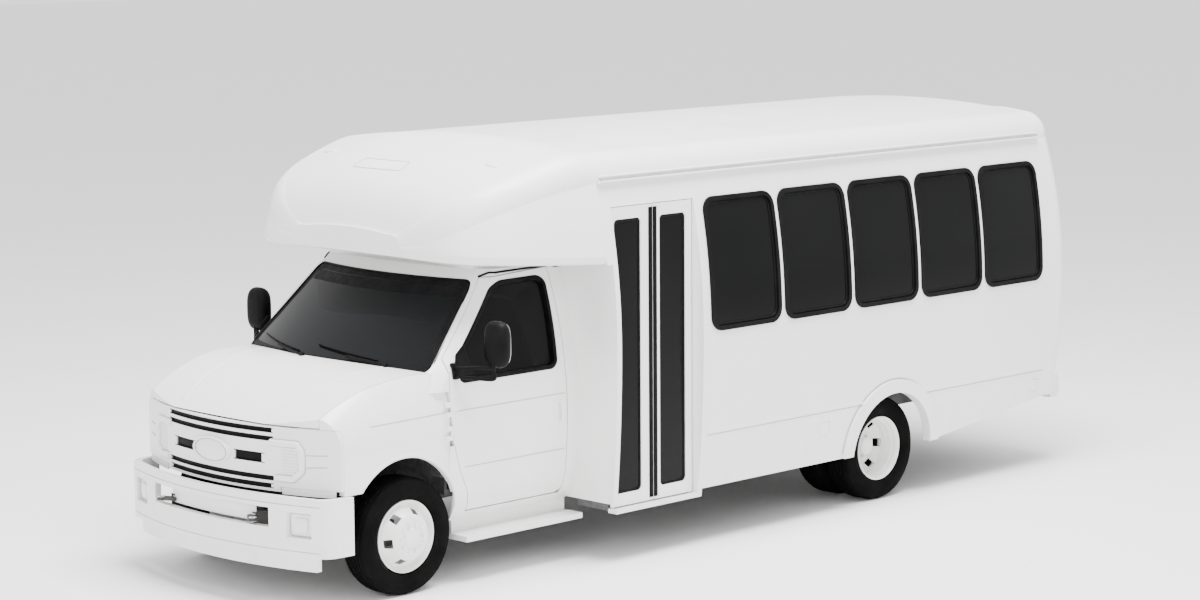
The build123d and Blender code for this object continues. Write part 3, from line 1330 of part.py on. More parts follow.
def skirts():
    """Each side in four runs that meet at the wheel's middle and beside its flare."""
    left = skirt(DOOR_JAMB_X - SEAM)
    right = [mirrored(run) for run in skirt(DOORWAY_FRONT_X - SEAM)]
    return assembled(left + right)


def door_surround():
    """Rear jamb, header and threshold of the passenger doorway."""
    rear = DOOR_JAMB_X
    frame = body_wall(rear, DOORWAY_FRONT_X - SEAM, 330, RAIL_Z - SEAM, 138)
    hole = block(DOORWAY_REAR_X, DOORWAY_FRONT_X, 900, 1500, DOORWAY_BOTTOM_Z - 5, DOORWAY_TOP_Z)
    under = block(STEP_REAR_X - 6, STEP_FRONT_X + 6, 900, STEP_OUTER_Y + 4, 300, DOORWAY_BOTTOM_Z + 2)
    frame = frame - hole - under
    for front in (True, False):
        x, y = leaf_pivot(front)
        low, high = DOORWAY_BOTTOM_Z - 10, DOORWAY_TOP_Z + 10
        frame += upright(x, y, low, low + 10 + LEAF_PIN_DEEP, LEAF_PIN_R)
        frame += upright(x, y, high - 10 - LEAF_PIN_DEEP, high, LEAF_PIN_R)
    return frame


def leaf_pivot(front):
    """Place of a leaf's pivot pins, on the axis of its rounded edge."""
    half = LEAF_THICK / 2
    x = DOORWAY_FRONT_X - LEAF_GAP - half if front else DOORWAY_REAR_X + LEAF_GAP + half
    return x, LEAF_Y - half


def entry_leaf(front):
    """One leaf of the passenger door and its glass; the front one is hinged at its front edge."""
    middle = (DOORWAY_FRONT_X + DOORWAY_REAR_X) / 2
    if front:
        x0, x1 = middle + LEAF_MID_GAP / 2, DOORWAY_FRONT_X - LEAF_GAP
        glass = (-1775, -1530)
    else:
        x0, x1 = DOORWAY_REAR_X + LEAF_GAP, middle - LEAF_MID_GAP / 2
        glass = (-2196, -1951)
    z0, z1 = DOORWAY_BOTTOM_Z + LEAF_GAP, DOORWAY_TOP_Z - LEAF_GAP
    leaf = block(x0, x1, LEAF_Y - LEAF_THICK, LEAF_Y, z0, z1)
    hinge_edges = leaf.edges().filter_by(Axis.Z).sort_by(Axis.X)
    leaf = fillet(hinge_edges[-2:] if front else hinge_edges[:2], LEAF_THICK / 2 - 0.1)
    pin_x, pin_y = leaf_pivot(front)
    for low in (z0 - 1, z1 - LEAF_PIN_DEEP):
        leaf -= upright(pin_x, pin_y, low, low + LEAF_PIN_DEEP + 1, LEAF_PIN_R + RUNNING_GAP)
    leaf -= rounded_side_prism(glass[0], glass[1], 450, 2245, 30, 1100, 1400)
    pane = rounded_side_prism(glass[0] + 0.3, glass[1] - 0.3, 450.3, 2244.7, 29.7, LEAF_Y - 20, LEAF_Y - 12)
    return leaf, pane


REAR_WALL_X = -6312
REAR_DOOR = dict(half=430, z0=812, z1=2150)
REAR_GLASS = dict(half=330, z0=1400, z1=2030, corner=70)
REAR_CORNER = 110
REAR_HINGE = (REAR_WALL_X - 9, -REAR_DOOR["half"] + DOOR_GAP / 2)
REAR_HINGE_Z = (1050, 1800)


def rear_volume(inset):
    """Closed volume of the body's tail, drawn in by inset."""

    def outline(x):
        low_z = SKIRT_RISE_Z - (50 if inset else 0)
        foot = (body_y(low_z) - inset, low_z)
        bulge = (BODY_HALF_WIDTH - inset, BODY_BULGE_Z)
        rail_point = (body_y(RAIL_Z) - inset, RAIL_Z)
        shoulder = (ROOF_SHOULDER_Y - inset * 0.6, ROOF_SHOULDER_Z - inset)
        corner = (1188 - inset * 0.9, 2605 - inset * 0.6)
        found = [Line((x, -foot[0], foot[1]), (x, foot[0], foot[1]))]
        found.append(ThreePointArc((x, shoulder[0], shoulder[1]), (x, 0, ROOF_TOP_Z - inset), (x, -shoulder[0], shoulder[1])))
        for s in (1, -1):
            low_mid = (x, s * (body_y((low_z + BODY_BULGE_Z) / 2) - inset), (low_z + BODY_BULGE_Z) / 2)
            high_mid = (x, s * (body_y((RAIL_Z + BODY_BULGE_Z) / 2) - inset), (RAIL_Z + BODY_BULGE_Z) / 2)
            points = [(x, s * y, z) for y, z in (foot, bulge, rail_point, shoulder)]
            found.append(ThreePointArc(points[0], low_mid, points[1]))
            found.append(ThreePointArc(points[1], high_mid, points[2]))
            found.append(ThreePointArc(points[2], (x, s * corner[0], corner[1]), points[3]))
        return found

    front = REAR_SEAM_X + (60 if inset else 0)
    solid = run_x(outline, REAR_WALL_X - 80, front)
    wall_x = REAR_WALL_X + inset * 1.3
    back = ThreePointArc(
        (ahead(wall_x + 66), -1500, 500), (ahead(wall_x), -1500, BODY_BULGE_Z), (ahead(wall_x + 84), -1500, 2700)
    )
    far = ahead(0)
    edges = [back, Line(back @ 1, (far, -1500, 2900)), Line((far, -1500, 2900), (far, -1500, 300)), Line((far, -1500, 300), back @ 0)]
    solid &= extrude(make_face(edges), amount=3000, dir=(0, 1, 0))
    if inset:
        return solid
    rim_edges = [
        edge
        for edge in solid.edges()
        if edge.center().X < ahead(wall_x + REAR_CORNER) and edge.center().Z > SKIRT_RISE_Z + SEAM
    ]
    return fillet(rim_edges, REAR_CORNER)


def rear_door_prism(grow):
    d = REAR_DOOR
    half = d["half"] + grow
    hole = block(-6600, REAR_SEAM_X - 60, -half, half, d["z0"] - grow, d["z1"] + grow)
    return hole


def rear_glass_prism(shrink):
    g = REAR_GLASS
    half = g["half"] - shrink
    slab = block(-6600, REAR_SEAM_X - 60, -half, half, g["z0"] + shrink, g["z1"] - shrink)
    return fillet(slab.edges().filter_by(Axis.X), g["corner"] - shrink)


def rear_hinges(tail):
    """Body side and door side of the rear door's outside hinges."""
    x, y = REAR_HINGE
    fixed, moving = Part(), Part()
    for z in REAR_HINGE_Z:
        fixed += hinge_fixed(x, y, z, lambda low, high: block(x - 3, x + 60, y - 70, y - 4, low, high) - tail)
        moving += hinge_moving(x, y, z, lambda low, high: block(x - 3, x + 60, y + 4, y + 70, low, high) - tail)
    return fixed, moving


REAR_BUMPER = dict(x0=-6400, x1=-6288, half=1222, z0=490, z1=660)
REAR_LAMPS = [(1015, 1180), (1015, 1420)]


def rear_bumper():
    b = REAR_BUMPER
    bar = block(b["x0"], b["x1"], -b["half"], b["half"], b["z0"], b["z1"])
    low_rear = bar.edges().filter_by(Axis.Y).sort_by(Axis.X)[:2]
    return chamfer(low_rear, 30)


def rear_lamps(tail):
    lamps = []
    for y, z in REAR_LAMPS:
        body = rounded_lamp(y, z)
        lamps.append(body - tail)
    return pair(Compound(children=lamps))


def rounded_lamp(y, z):
    slab = block(-6338, -6200, y - 75, y + 75, z - 75, z + 75)
    return fillet(slab.edges().filter_by(Axis.X), 60)


# ---------------------------------------------------------------- seats
SEAT_PITCH = 750
SEAT_ROWS = 5
SEAT_FIRST_X = -2900
SEAT_WIDE = 860
SEAT_DEEP = 430
SEAT_THICK = 100
SEAT_TOP_Z = 1250
SEAT_INNER_Y = 330
BACK_THICK = 90
BACK_TALL = 640
SEAT_GAP = 4
CAB_SEAT = dict(x=-1200, y=450, wide=470, deep=450, top_z=1010)


def seat_places():
    """Back x, middle y, width, depth, cushion top and floor height of each seat."""
    places = []
    middle = SEAT_INNER_Y + SEAT_WIDE / 2
    for row in range(SEAT_ROWS):
        x = SEAT_FIRST_X - row * SEAT_PITCH
        places.append((x, middle, SEAT_WIDE, SEAT_DEEP, SEAT_TOP_Z, FLOOR_TOP_Z))
        places.append((x, -middle, SEAT_WIDE, SEAT_DEEP, SEAT_TOP_Z, FLOOR_TOP_Z))
    places.append((SEAT_FIRST_X + SEAT_PITCH, -middle, SEAT_WIDE, SEAT_DEEP, SEAT_TOP_Z, FLOOR_TOP_Z))
    c = CAB_SEAT
    for side in (1, -1):
        places.append((c["x"], side * c["y"], c["wide"], c["deep"], c["top_z"], CAB_FLOOR_Z))
    return places


def cushion(x, y, wide, deep, top_z):
    slab = block(x, x + deep, y - wide / 2, y + wide / 2, top_z - SEAT_THICK, top_z)
    return fillet(slab.edges().filter_by(Axis.Y), 30)


def backrest(x, y, wide, top_z):
    """Leaning back, from just above its cushion."""
    low, lean = top_z - SEAT_THICK, 90
    outline = [
        (x - SEAT_GAP, low),
        (x - SEAT_GAP, low + 60),
        (x - SEAT_GAP - lean, top_z + BACK_TALL),
        (x - SEAT_GAP - lean - BACK_THICK, top_z + BACK_TALL),
        (x - SEAT_GAP - BACK_THICK, low),
    ]
    slab = side_prism(outline, y - wide / 2, y + wide / 2)
    return fillet(slab.edges().filter_by(Axis.Y).sort_by(Axis.Z)[-2:], 35)


def seat_base(x, y, wide, deep, top_z, floor_z):
    """Tray under the cushion and back, and the two legs that it stands on."""
    tray_z = top_z - SEAT_THICK
    tray = block(x - BACK_THICK, x + deep - 20, y - wide / 2 + 20, y + wide / 2 - 20, tray_z - 30, tray_z)
    solids = [tray]
    for side in (1, -1):
        middle = y + side * (wide / 2 - 90)
        over_wheel = abs(middle) > WHEELHOUSE_INNER_Y and abs(x + deep / 2 + WHEELBASE) < WHEELHOUSE_HALF
        if over_wheel:
            floor_z = WHEELHOUSE_TOP_Z
        solids.append(block(x + 40, x + deep - 90, middle - 18, middle + 18, floor_z, tray_z - 30))
    return solids


def seats():
    cushions, backs, bases = [], [], []
    for x, y, wide, deep, top_z, floor_z in seat_places():
        cushions.append(cushion(x, y, wide, deep, top_z))
        backs.append(backrest(x, y, wide, top_z))
        bases += seat_base(x, y, wide, deep, top_z, floor_z)
    return assembled(cushions), assembled(backs), assembled(bases)


# ---------------------------------------------------------------- every sub-part
def build():
    os.makedirs("parts", exist_ok=True)
    wheels()
    for name, shape in (("knuckle", knuckle()), ("cab_door", cab_door()), ("mirror", door_mirror())):
        export(f"{name}_left", shape)
        export(f"{name}_right", mirrored(shape))
    pane = cab_door_glass()
    export("cab_door_glass_left", pane)
    export("cab_door_glass_right", mirrored(pane))
    export("tie_rod", tie_rod())
    export("front_axle", front_axle())
    export("rear_axle", rear_axle())
    export("springs", springs())
    export("chassis_frame", chassis_frame())
    export("engine_block", engine_block())
    export("fuel_tank", fuel_tank())
    export("exhaust", exhaust())
    export("saloon_floor", saloon_floor())
    export("step_well", step_well())
    export("cab_floor", cab_floor())
    export("cab_frame", cab_frame())
    export("windshield", windshield())
    export("front_bulkhead", front_bulkhead())
    shell = nose_shell()
    export("hood", hood(shell))
    export("fenders", fenders(shell))
    export("headlamps", headlamps(shell))
    export("grille", grille())
    export("radiator", radiator())
    export("front_bumper", front_bumper())
    export("dashboard", dashboard())
    export("steering_wheel", steering_wheel())
    export("running_boards", running_boards())
    export("front_cap", front_cap())
    export("roof", roof())
    export("side_panel_left", side_panel("left"))
    export("side_panel_right", side_panel("right"))
    export("skirts", skirts())
    export("window_frames", window_set(window_frame))
    export("window_glass", window_set(window_pane))
    export("door_surround", door_surround())
    for name, front in (("front", True), ("rear", False)):
        leaf, glass = entry_leaf(front)
        export(f"entry_leaf_{name}", leaf)
        export(f"entry_glass_{name}", glass)
    tail = rear_volume(0)
    tail_shell = tail - rear_volume(WALL)
    low_cut = block(-6600, REAR_SEAM_X - 60, -1150, 1150, 300, REAR_BUMPER["z1"] - 40)
    fixed, moving = rear_hinges(tail)
    export("rear_cap", tail_shell - rear_door_prism(0) - low_cut + fixed)
    export("rear_door", (tail_shell & rear_door_prism(-DOOR_GAP)) - rear_glass_prism(0) + moving)
    glass_band = rear_volume(12) - rear_volume(12 + GLASS)
    export("rear_door_glass", glass_band & rear_glass_prism(0.3))
    export("rear_lamps", rear_lamps(tail))
    export("rear_bumper", rear_bumper())
    cushions, backs, bases = seats()
    export("seat_cushions", cushions)
    export("seat_backs", backs)
    export("seat_bases", bases)


build()
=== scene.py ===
import json
import math
from contextlib import contextmanager

import bmesh
import bpy
from mathutils import Matrix, Vector
from mathutils.bvhtree import BVHTree


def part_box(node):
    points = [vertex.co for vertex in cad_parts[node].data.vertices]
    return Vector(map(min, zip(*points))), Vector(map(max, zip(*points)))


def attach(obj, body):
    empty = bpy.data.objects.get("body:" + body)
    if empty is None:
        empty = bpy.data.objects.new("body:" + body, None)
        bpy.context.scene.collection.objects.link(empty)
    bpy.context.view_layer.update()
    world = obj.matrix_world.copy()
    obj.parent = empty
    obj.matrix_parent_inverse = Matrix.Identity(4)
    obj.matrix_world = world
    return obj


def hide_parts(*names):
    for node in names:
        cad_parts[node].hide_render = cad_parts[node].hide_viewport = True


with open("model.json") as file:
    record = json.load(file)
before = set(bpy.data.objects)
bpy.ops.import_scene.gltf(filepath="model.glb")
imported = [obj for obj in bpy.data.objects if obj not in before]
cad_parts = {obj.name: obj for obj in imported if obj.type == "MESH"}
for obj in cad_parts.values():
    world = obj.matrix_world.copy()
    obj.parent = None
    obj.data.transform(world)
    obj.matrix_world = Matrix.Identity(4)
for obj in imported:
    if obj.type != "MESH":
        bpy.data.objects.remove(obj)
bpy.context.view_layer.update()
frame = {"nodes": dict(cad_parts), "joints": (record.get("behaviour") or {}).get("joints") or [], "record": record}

JOINTS = {joint["name"]: joint for joint in frame["joints"]}
BODY_OF = {node: body for body, nodes in frame["record"]["behaviour"]["bodies"].items() for node in nodes}
SLOT_OF = {entry["node"]: entry["material_slot"] for entry in frame["record"]["subparts"]}
LEFT, RIGHT = 1, -1
SIDE_NAME = {LEFT: "left", RIGHT: "right"}

# x is given forward of the front axle, z above the road
FRONT_AXLE_X = JOINTS["steer_left"]["pos_m"][0]
REAR_AXLE_X = JOINTS["wheels_rear_left_spin"]["pos_m"][0]
REAR_AXLE_AT = REAR_AXLE_X - FRONT_AXLE_X
HUB_Z = JOINTS["wheel_front_left_spin"]["pos_m"][2]
CAP_SEAM_X = -1.41
REAR_SEAM_X = -6.06


def at(x, y, z):
    """Point whose x is measured forward of the front axle."""
    return Vector((FRONT_AXLE_X + x, y, z))


# ---------------------------------------------------------------- finishes
def socket_name(word):
    """Label of a socket, from a keyword such as coat_weight."""
    return word.replace("_", " ").title().replace(" Ior ", " IOR ")


def wired(tree, kind, **inputs):
    """New node in a tree, each named input fed by a socket or set to a value."""
    made = tree.nodes.new(kind)
    for word, given in inputs.items():
        socket = made.inputs[socket_name(word)]
        if isinstance(given, bpy.types.NodeSocket):
            tree.links.new(given, socket)
        else:
            socket.default_value = given
    return made


class Finish:
    """A surface finish in the making, its detail laid out in the object's own metres."""

    def __init__(self, name, roughness, **sockets):
        self.material = bpy.data.materials.new(name)
        self.material.use_nodes = True
        self.tree = self.material.node_tree
        self.shader = self.tree.nodes["Principled BSDF"]
        self.shader.inputs["Roughness"].default_value = roughness
        for socket, value in sockets.items():
            self.shader.inputs[socket_name(socket)].default_value = value
        self.space = self.node("ShaderNodeTexCoord").outputs["Object"]
        self.height = None

    def node(self, kind, **inputs):
        """New node of this finish."""
        return wired(self.tree, kind, **inputs)

    def link(self, source, target):
        self.tree.links.new(source, target)

    def noise(self, scale, detail=3.0, stretch=(1, 1, 1)):
        """Soft blotches or grain; stretch draws it out along an axis."""
        mapping = self.node("ShaderNodeMapping", scale=stretch, vector=self.space)
        grain = self.node("ShaderNodeTexNoise", scale=scale, detail=detail, vector=mapping.outputs["Vector"])
        return grain.outputs["Fac"]

    def spread(self, value, low, high, start=0.35, end=0.65):
        """Value's middle range carried to low..high."""
        ramp = self.node(
            "ShaderNodeMapRange", value=value, from_min=start, from_max=end, to_min=low, to_max=high
        )
        return ramp.outputs["Result"]

    def low_down(self, full_z, none_z):
        """1 below full_z, fading to 0 at none_z."""
        height = self.node("ShaderNodeSeparateXYZ", vector=self.space).outputs["Z"]
        return self.spread(height, 1.0, 0.0, full_z, none_z)

    def times(self, first, second):
        """Product of two values."""
        product = self.node("ShaderNodeMath")
        product.operation = "MULTIPLY"
        self.link(first, product.inputs[0])
        self.link(second, product.inputs[1])
        return product.outputs["Value"]

    def colours(self, factor, first, second):
        """Colour between first and second; first may itself be a mix's output."""
        mix = self.node("ShaderNodeMix")
        mix.data_type = "RGBA"
        self.link(factor, mix.inputs[0])
        if isinstance(first, tuple):
            mix.inputs[6].default_value = (*first, 1)
        else:
            self.link(first, mix.inputs[6])
        mix.inputs[7].default_value = (*second, 1)
        return mix.outputs[2]

    def mottled(self, scale, first, second, detail=3.0, most=1.0):
        """First colour with patches that go up to most of the way to the second."""
        return self.colours(self.spread(self.noise(scale, detail), 0, most), first, second)

    def road_film(self, clean, full_z, none_z, scale, most, dirt):
        """Clean colour under a patchy film of dirt that thins out with height."""
        film = self.times(self.low_down(full_z, none_z), self.spread(self.noise(scale, 5.0), 0.0, most))
        return self.colours(film, clean, dirt)

    def paint(self, colour):
        """Sets what colours the surface."""
        self.link(colour, self.shader.inputs["Base Color"])

    def gloss(self, scale, low, high, detail=3.0):
        """Roughness that wanders between low and high."""
        self.link(self.spread(self.noise(scale, detail), low, high), self.shader.inputs["Roughness"])

    def relief(self, scale, depth, strength, detail=3.0, stretch=(1, 1, 1)):
        """Grain that raises the surface by up to depth metres, over any laid before."""
        grain = self.noise(scale, detail, stretch)
        bump = self.node("ShaderNodeBump", strength=strength, distance=depth, height=grain)
        if self.height:
            self.link(self.height, bump.inputs["Normal"])
        self.height = bump.outputs["Normal"]
        self.link(self.height, self.shader.inputs["Normal"])


def white_paint():
    """Sprayed gloss enamel on sheet metal, with its faint orange peel and road film low down."""
    finish = Finish("white_paint", 0.32, coat_weight=0.35, coat_roughness=0.12)
    clean = finish.mottled(0.9, (0.86, 0.86, 0.85), (0.83, 0.83, 0.822))
    finish.paint(finish.road_film(clean, 0.35, 0.95, 7.0, 0.5, (0.74, 0.735, 0.72)))
    finish.gloss(2.5, 0.28, 0.38)
    finish.relief(160.0, 0.0003, 0.25, detail=1.0)
    return finish.material


def white_gelcoat():
    """Moulded glass fibre shells: cap, tail and bumpers, a little softer than the paint."""
    finish = Finish("white_gelcoat", 0.4, coat_weight=0.2, coat_roughness=0.2)
    clean = finish.mottled(1.3, (0.85, 0.85, 0.842), (0.82, 0.82, 0.812))
    finish.paint(finish.road_film(clean, 0.3, 0.8, 9.0, 0.45, (0.72, 0.715, 0.70)))
    finish.gloss(4.0, 0.36, 0.46)
    finish.relief(45.0, 0.0006, 0.2, detail=2.0)
    finish.relief(420.0, 0.0002, 0.25, detail=2.0)
    return finish.material


def wheel_enamel():
    """Satin white baked on pressed steel, with brake dust in the hollows."""
    finish = Finish("wheel_enamel", 0.38, coat_weight=0.15)
    finish.paint(finish.mottled(14.0, (0.84, 0.84, 0.83), (0.66, 0.65, 0.63), detail=6.0, most=0.35))
    finish.relief(120.0, 0.0003, 0.4)
    return finish.material


def tyre_rubber():
    """Matte carbon-black rubber with a fine moulded grain and dry, slightly dusty patches."""
    finish = Finish("tyre_rubber", 0.85, specular_ior_level=0.03)
    fresh, dusty = (0.0025, 0.0025, 0.0025), (0.0065, 0.0062, 0.006)
    finish.paint(finish.mottled(5.0, fresh, dusty, detail=6.0, most=0.6))
    finish.gloss(30.0, 0.7, 0.86, detail=4.0)
    finish.relief(700.0, 0.0004, 0.5)
    return finish.material


def black_moulding():
    """Grained black plastic of mirrors, gaskets, wipers and trim."""
    finish = Finish("black_moulding", 0.5, specular_ior_level=0.07)
    finish.paint(finish.mottled(6.0, (0.0028, 0.0028, 0.003), (0.0055, 0.0055, 0.0058)))
    finish.gloss(20.0, 0.44, 0.58)
    finish.relief(900.0, 0.00025, 0.4, detail=2.0)
    return finish.material


def privacy_glass():
    """Deep grey tinted safety glass: nearly closed from outside, with a very slow roller wave."""
    finish = Finish("privacy_glass", 0.10, alpha=0.992, specular_ior_level=0.08)
    finish.paint(finish.mottled(0.8, (0.003, 0.0031, 0.0033), (0.005, 0.0051, 0.0054), detail=1.0))
    finish.relief(2.2, 0.0012, 0.25, detail=0.0, stretch=(1, 1, 0.35))
    return finish.material


def windshield_glass():
    """Laminated screen, a shade lighter than the side glass."""
    finish = Finish("windshield_glass", 0.07, alpha=0.985, specular_ior_level=0.10)
    finish.paint(finish.mottled(0.7, (0.004, 0.0044, 0.005), (0.007, 0.0076, 0.0085), detail=1.0))
    finish.relief(1.6, 0.0012, 0.2, detail=0.0)
    return finish.material


def chassis_black():
    """Wax-coated black frame steel with dried road dirt."""
    finish = Finish("chassis_black", 0.55)
    finish.paint(finish.mottled(6.0, (0.018, 0.018, 0.019), (0.06, 0.055, 0.048), detail=6.0, most=0.8))
    finish.gloss(12.0, 0.42, 0.75, detail=4.0)
    finish.relief(90.0, 0.0006, 0.5, detail=4.0)
    return finish.material


def cast_metal():
    """Rough cast and forged iron of axles, knuckles and engine."""
    finish = Finish("cast_metal", 0.62, metallic=0.6)
    finish.paint(finish.mottled(8.0, (0.09, 0.09, 0.092), (0.13, 0.085, 0.055), detail=6.0, most=0.55))
    finish.relief(220.0, 0.0008, 0.7, detail=4.0)
    return finish.material


def exhaust_steel():
    """Drawn steel tube, straw-brown where it runs hot."""
    finish = Finish("exhaust_steel", 0.42, metallic=0.9)
    finish.paint(finish.mottled(3.0, (0.42, 0.40, 0.38), (0.30, 0.23, 0.17), detail=4.0))
    finish.relief(300.0, 0.0003, 0.5, stretch=(0.2, 1, 1))
    return finish.material


def floor_rubber():
    """Dark grey walking floor."""
    finish = Finish("floor_rubber", 0.7)
    finish.paint(finish.mottled(25.0, (0.05, 0.05, 0.054), (0.085, 0.085, 0.09), detail=4.0))
    finish.relief(500.0, 0.0006, 0.6, detail=2.0)
    return finish.material


def seat_cloth():
    """Navy moquette: a fine woven ground with small paler flecks."""
    finish = Finish("seat_cloth", 0.9, sheen_weight=0.35, sheen_roughness=0.5)
    flecks = finish.spread(finish.noise(180.0, 2.0), 0.0, 1.0, 0.55, 0.7)
    ground = finish.mottled(9.0, (0.03, 0.045, 0.085), (0.045, 0.06, 0.10))
    finish.paint(finish.colours(flecks, ground, (0.16, 0.18, 0.22)))
    finish.relief(900.0, 0.0009, 0.7, detail=1.0)
    return finish.material


def grey_moulding():
    """Grained mid grey dashboard plastic."""
    finish = Finish("grey_moulding", 0.6)
    finish.paint(finish.mottled(5.0, (0.10, 0.10, 0.105), (0.135, 0.135, 0.14)))
    finish.relief(650.0, 0.0005, 0.5)
    return finish.material


def seam_sealant():
    """Painted shade: flat grey laid along creases, channels and panel edges in place of their shadow lines."""
    finish = Finish("seam_sealant", 0.6)
    # painted shade: this grey stands in for the shadow along creases and edges
    finish.paint(finish.mottled(12.0, (0.36, 0.36, 0.355), (0.44, 0.44, 0.43)))
    finish.relief(200.0, 0.0003, 0.3, detail=2.0)
    return finish.material


def mirror_glass():
    """Silvered glass with a trace of road film."""
    finish = Finish("mirror_glass", 0.04, metallic=1.0)
    finish.paint(finish.mottled(9.0, (0.62, 0.64, 0.65), (0.56, 0.58, 0.59)))
    finish.gloss(30.0, 0.02, 0.10, detail=4.0)
    return finish.material


def lamp_lens(name, colour):
    """Moulded lens over a bright reflector, with its fine vertical flutes."""
    finish = Finish(name, 0.18, specular_ior_level=0.25, coat_weight=0.15, coat_roughness=0.05)
    darker = tuple(0.97 * part for part in colour)
    finish.paint(finish.colours(finish.spread(finish.noise(40.0, 1.0, (6, 6, 0.3)), 0, 1), colour, darker))
    finish.relief(60.0, 0.0008, 0.12, detail=0.0, stretch=(1, 1, 0.1))
    return finish.material


PAINT = white_paint()
GELCOAT = white_gelcoat()
WHEEL = wheel_enamel()
RUBBER = tyre_rubber()
BLACK = black_moulding()
SIDE_GLASS = privacy_glass()
SCREEN_GLASS = windshield_glass()
CLOTH = seat_cloth()
MIRROR_GLASS = mirror_glass()
# painted shade for the grey lines on creases, channels and edges
SEAM_SHADE = seam_sealant()
WHITE_LENS = lamp_lens("white_lens", (0.82, 0.82, 0.81))
RED_LENS = lamp_lens("red_lens", (0.17, 0.003, 0.003))

FINISH_OF_SLOT = {
    "body_paint": PAINT,
    "white_plastic": GELCOAT,
    "black_plastic": BLACK,
    "tinted_glass": SIDE_GLASS,
    "tyre": RUBBER,
    "wheel_paint": WHEEL,
    "chassis_paint": chassis_black(),
    "cast_iron": cast_metal(),
    "exhaust_steel": exhaust_steel(),
    "floor_covering": floor_rubber(),
    "seat_fabric": CLOTH,
    "grey_plastic": grey_moulding(),
}
FINISH_OF_NODE = {"headlamps": WHITE_LENS, "rear_lamps": RED_LENS, "windshield": SCREEN_GLASS}

for node_name, node_object in frame["nodes"].items():
    node_object.data.materials.clear()
    node_object.data.materials.append(FINISH_OF_NODE.get(node_name) or FINISH_OF_SLOT[SLOT_OF[node_name]])


# ---------------------------------------------------------------- making pieces
def placed(name, data):
    """New object in the scene."""
    made = bpy.data.objects.new(name, data)
    bpy.context.scene.collection.objects.link(made)
    return made


def piece(name, mesh, material, body="vehicle_body", stands_for=()):
    """Object made of mesh, given its finish and body; stands_for names the nodes it shows instead of."""
    mesh.name = name
    mesh.materials.clear()
    mesh.materials.append(material)
    made = placed(name, mesh)
    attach(made, body)
    if stands_for:
        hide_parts(*stands_for)
    return made


def evaluated(holder):
    """Plain mesh of a helper object with its modifiers applied; the helper is removed."""
    seen = bpy.context.evaluated_depsgraph_get()
    mesh = bpy.data.meshes.new_from_object(holder.evaluated_get(seen))
    bpy.data.objects.remove(holder)
    return mesh


@contextmanager
def editing(mesh):
    """A mesh opened for work on its points and faces, and written back afterwards."""
    work = bmesh.new()
    work.from_mesh(mesh)
    yield work
    work.to_mesh(mesh)
    work.free()


def grid_mesh(rows, wrap_rows=False, wrap_columns=False):
    """Quads through rows of points, row to row."""
    mesh = bpy.data.meshes.new("grid")
    count, width = len(rows), len(rows[0])
    faces = []
    for i in range(count if wrap_rows else count - 1):
        for j in range(width if wrap_columns else width - 1):
            a, b = i, (i + 1) % count
            c, d = j, (j + 1) % width
            faces.append((a * width + c, a * width + d, b * width + d, b * width + c))
    mesh.from_pydata([tuple(point) for row in rows for point in row], [], faces)
    return mesh


def shade(mesh, angle):
    """Smooth shading, with edges over angle degrees kept sharp."""
    mesh.shade_smooth()
    if angle < 180:
        mesh.set_sharp_from_angle(angle=math.radians(angle))


def cleaned(mesh, smooth_angle=None):
    """Doubles merged, faces turned outwards, shaded smooth below smooth_angle degrees."""
    with editing(mesh) as work:
        bmesh.ops.remove_doubles(work, verts=work.verts, dist=0.00002)
        bmesh.ops.recalc_face_normals(work, faces=work.faces)
    if smooth_angle is not None:
        shade(mesh, smooth_angle)
    return mesh


def capped(mesh):
    """Open ends closed."""
    with editing(mesh) as work:
        bmesh.ops.holes_fill(work, edges=[edge for edge in work.edges if edge.is_boundary], sides=64)
    return mesh


def bar(rows, smooth_angle=40):
    """Solid bar through rows of cross-sections."""
    return cleaned(capped(grid_mesh(rows, wrap_columns=True)), smooth_angle)


def joined(meshes):
    """One mesh of several."""
    made = bpy.data.meshes.new("joined")
    with editing(made) as work:
        for mesh in meshes:
            work.from_mesh(mesh)
    return made


def mirrored_copy(mesh):
    """The same mesh on the other side of the bus."""
    other = mesh.copy()
    for vertex in other.vertices:
        vertex.co.y = -vertex.co.y
    other.flip_normals()
    return other


def spun(profile, centre, steps):
    """Closed ring from a closed profile of (radius, y), turned round the Y axis through centre."""
    rows = []
    for step in range(steps):
        turn = 2 * math.pi * step / steps
        rows.append([centre + Vector((r * math.sin(turn), y, r * math.cos(turn))) for r, y in profile])
    return grid_mesh(rows, wrap_rows=True, wrap_columns=True)


def curve_through(points, steps):
    """Points of a smooth run through the given ones, steps to each span."""
    found = []
    last = len(points) - 1
    for i in range(last):
        corners = points[max(i - 1, 0)], points[i], points[i + 1], points[min(i + 2, last)]
        for step in range(steps):
            t = step / steps
            found.append(tuple(between(t, *values) for values in zip(*corners)))
    found.append(tuple(points[last]))
    return found


def between(t, a, b, c, d):
    """Smooth value a share t of the way from b to c, with a before and d after them."""
    return 0.5 * (2 * b + (c - a) * t + (2 * a - 5 * b + 4 * c - d) * t * t + (3 * b - a - 3 * c + d) * t**3)


# ---------------------------------------------------------------- repeats made with geometry nodes
def new_tree(name, sizes):
    """An empty geometry tree with named inputs, and the sockets that carry them."""
    tree = bpy.data.node_groups.new(name, "GeometryNodeTree")
    tree.interface.new_socket("Geometry", in_out="OUTPUT", socket_type="NodeSocketGeometry")
    for label, (kind, value) in sizes.items():
        tree.interface.new_socket(label, in_out="INPUT", socket_type=kind).default_value = value
    tree.interface.new_socket("Finish", in_out="INPUT", socket_type="NodeSocketMaterial")
    return tree, tree.nodes.new("NodeGroupInput").outputs


def finish_tree(tree, given, copies):
    """Realizes the copies, gives them their finish and ends the tree."""
    realize = wired(tree, "GeometryNodeRealizeInstances", geometry=copies.outputs["Instances"])
    coat = wired(
        tree, "GeometryNodeSetMaterial", geometry=realize.outputs["Geometry"], material=given["Finish"]
    )
    wired(tree, "NodeGroupOutput", geometry=coat.outputs["Geometry"])
    return tree


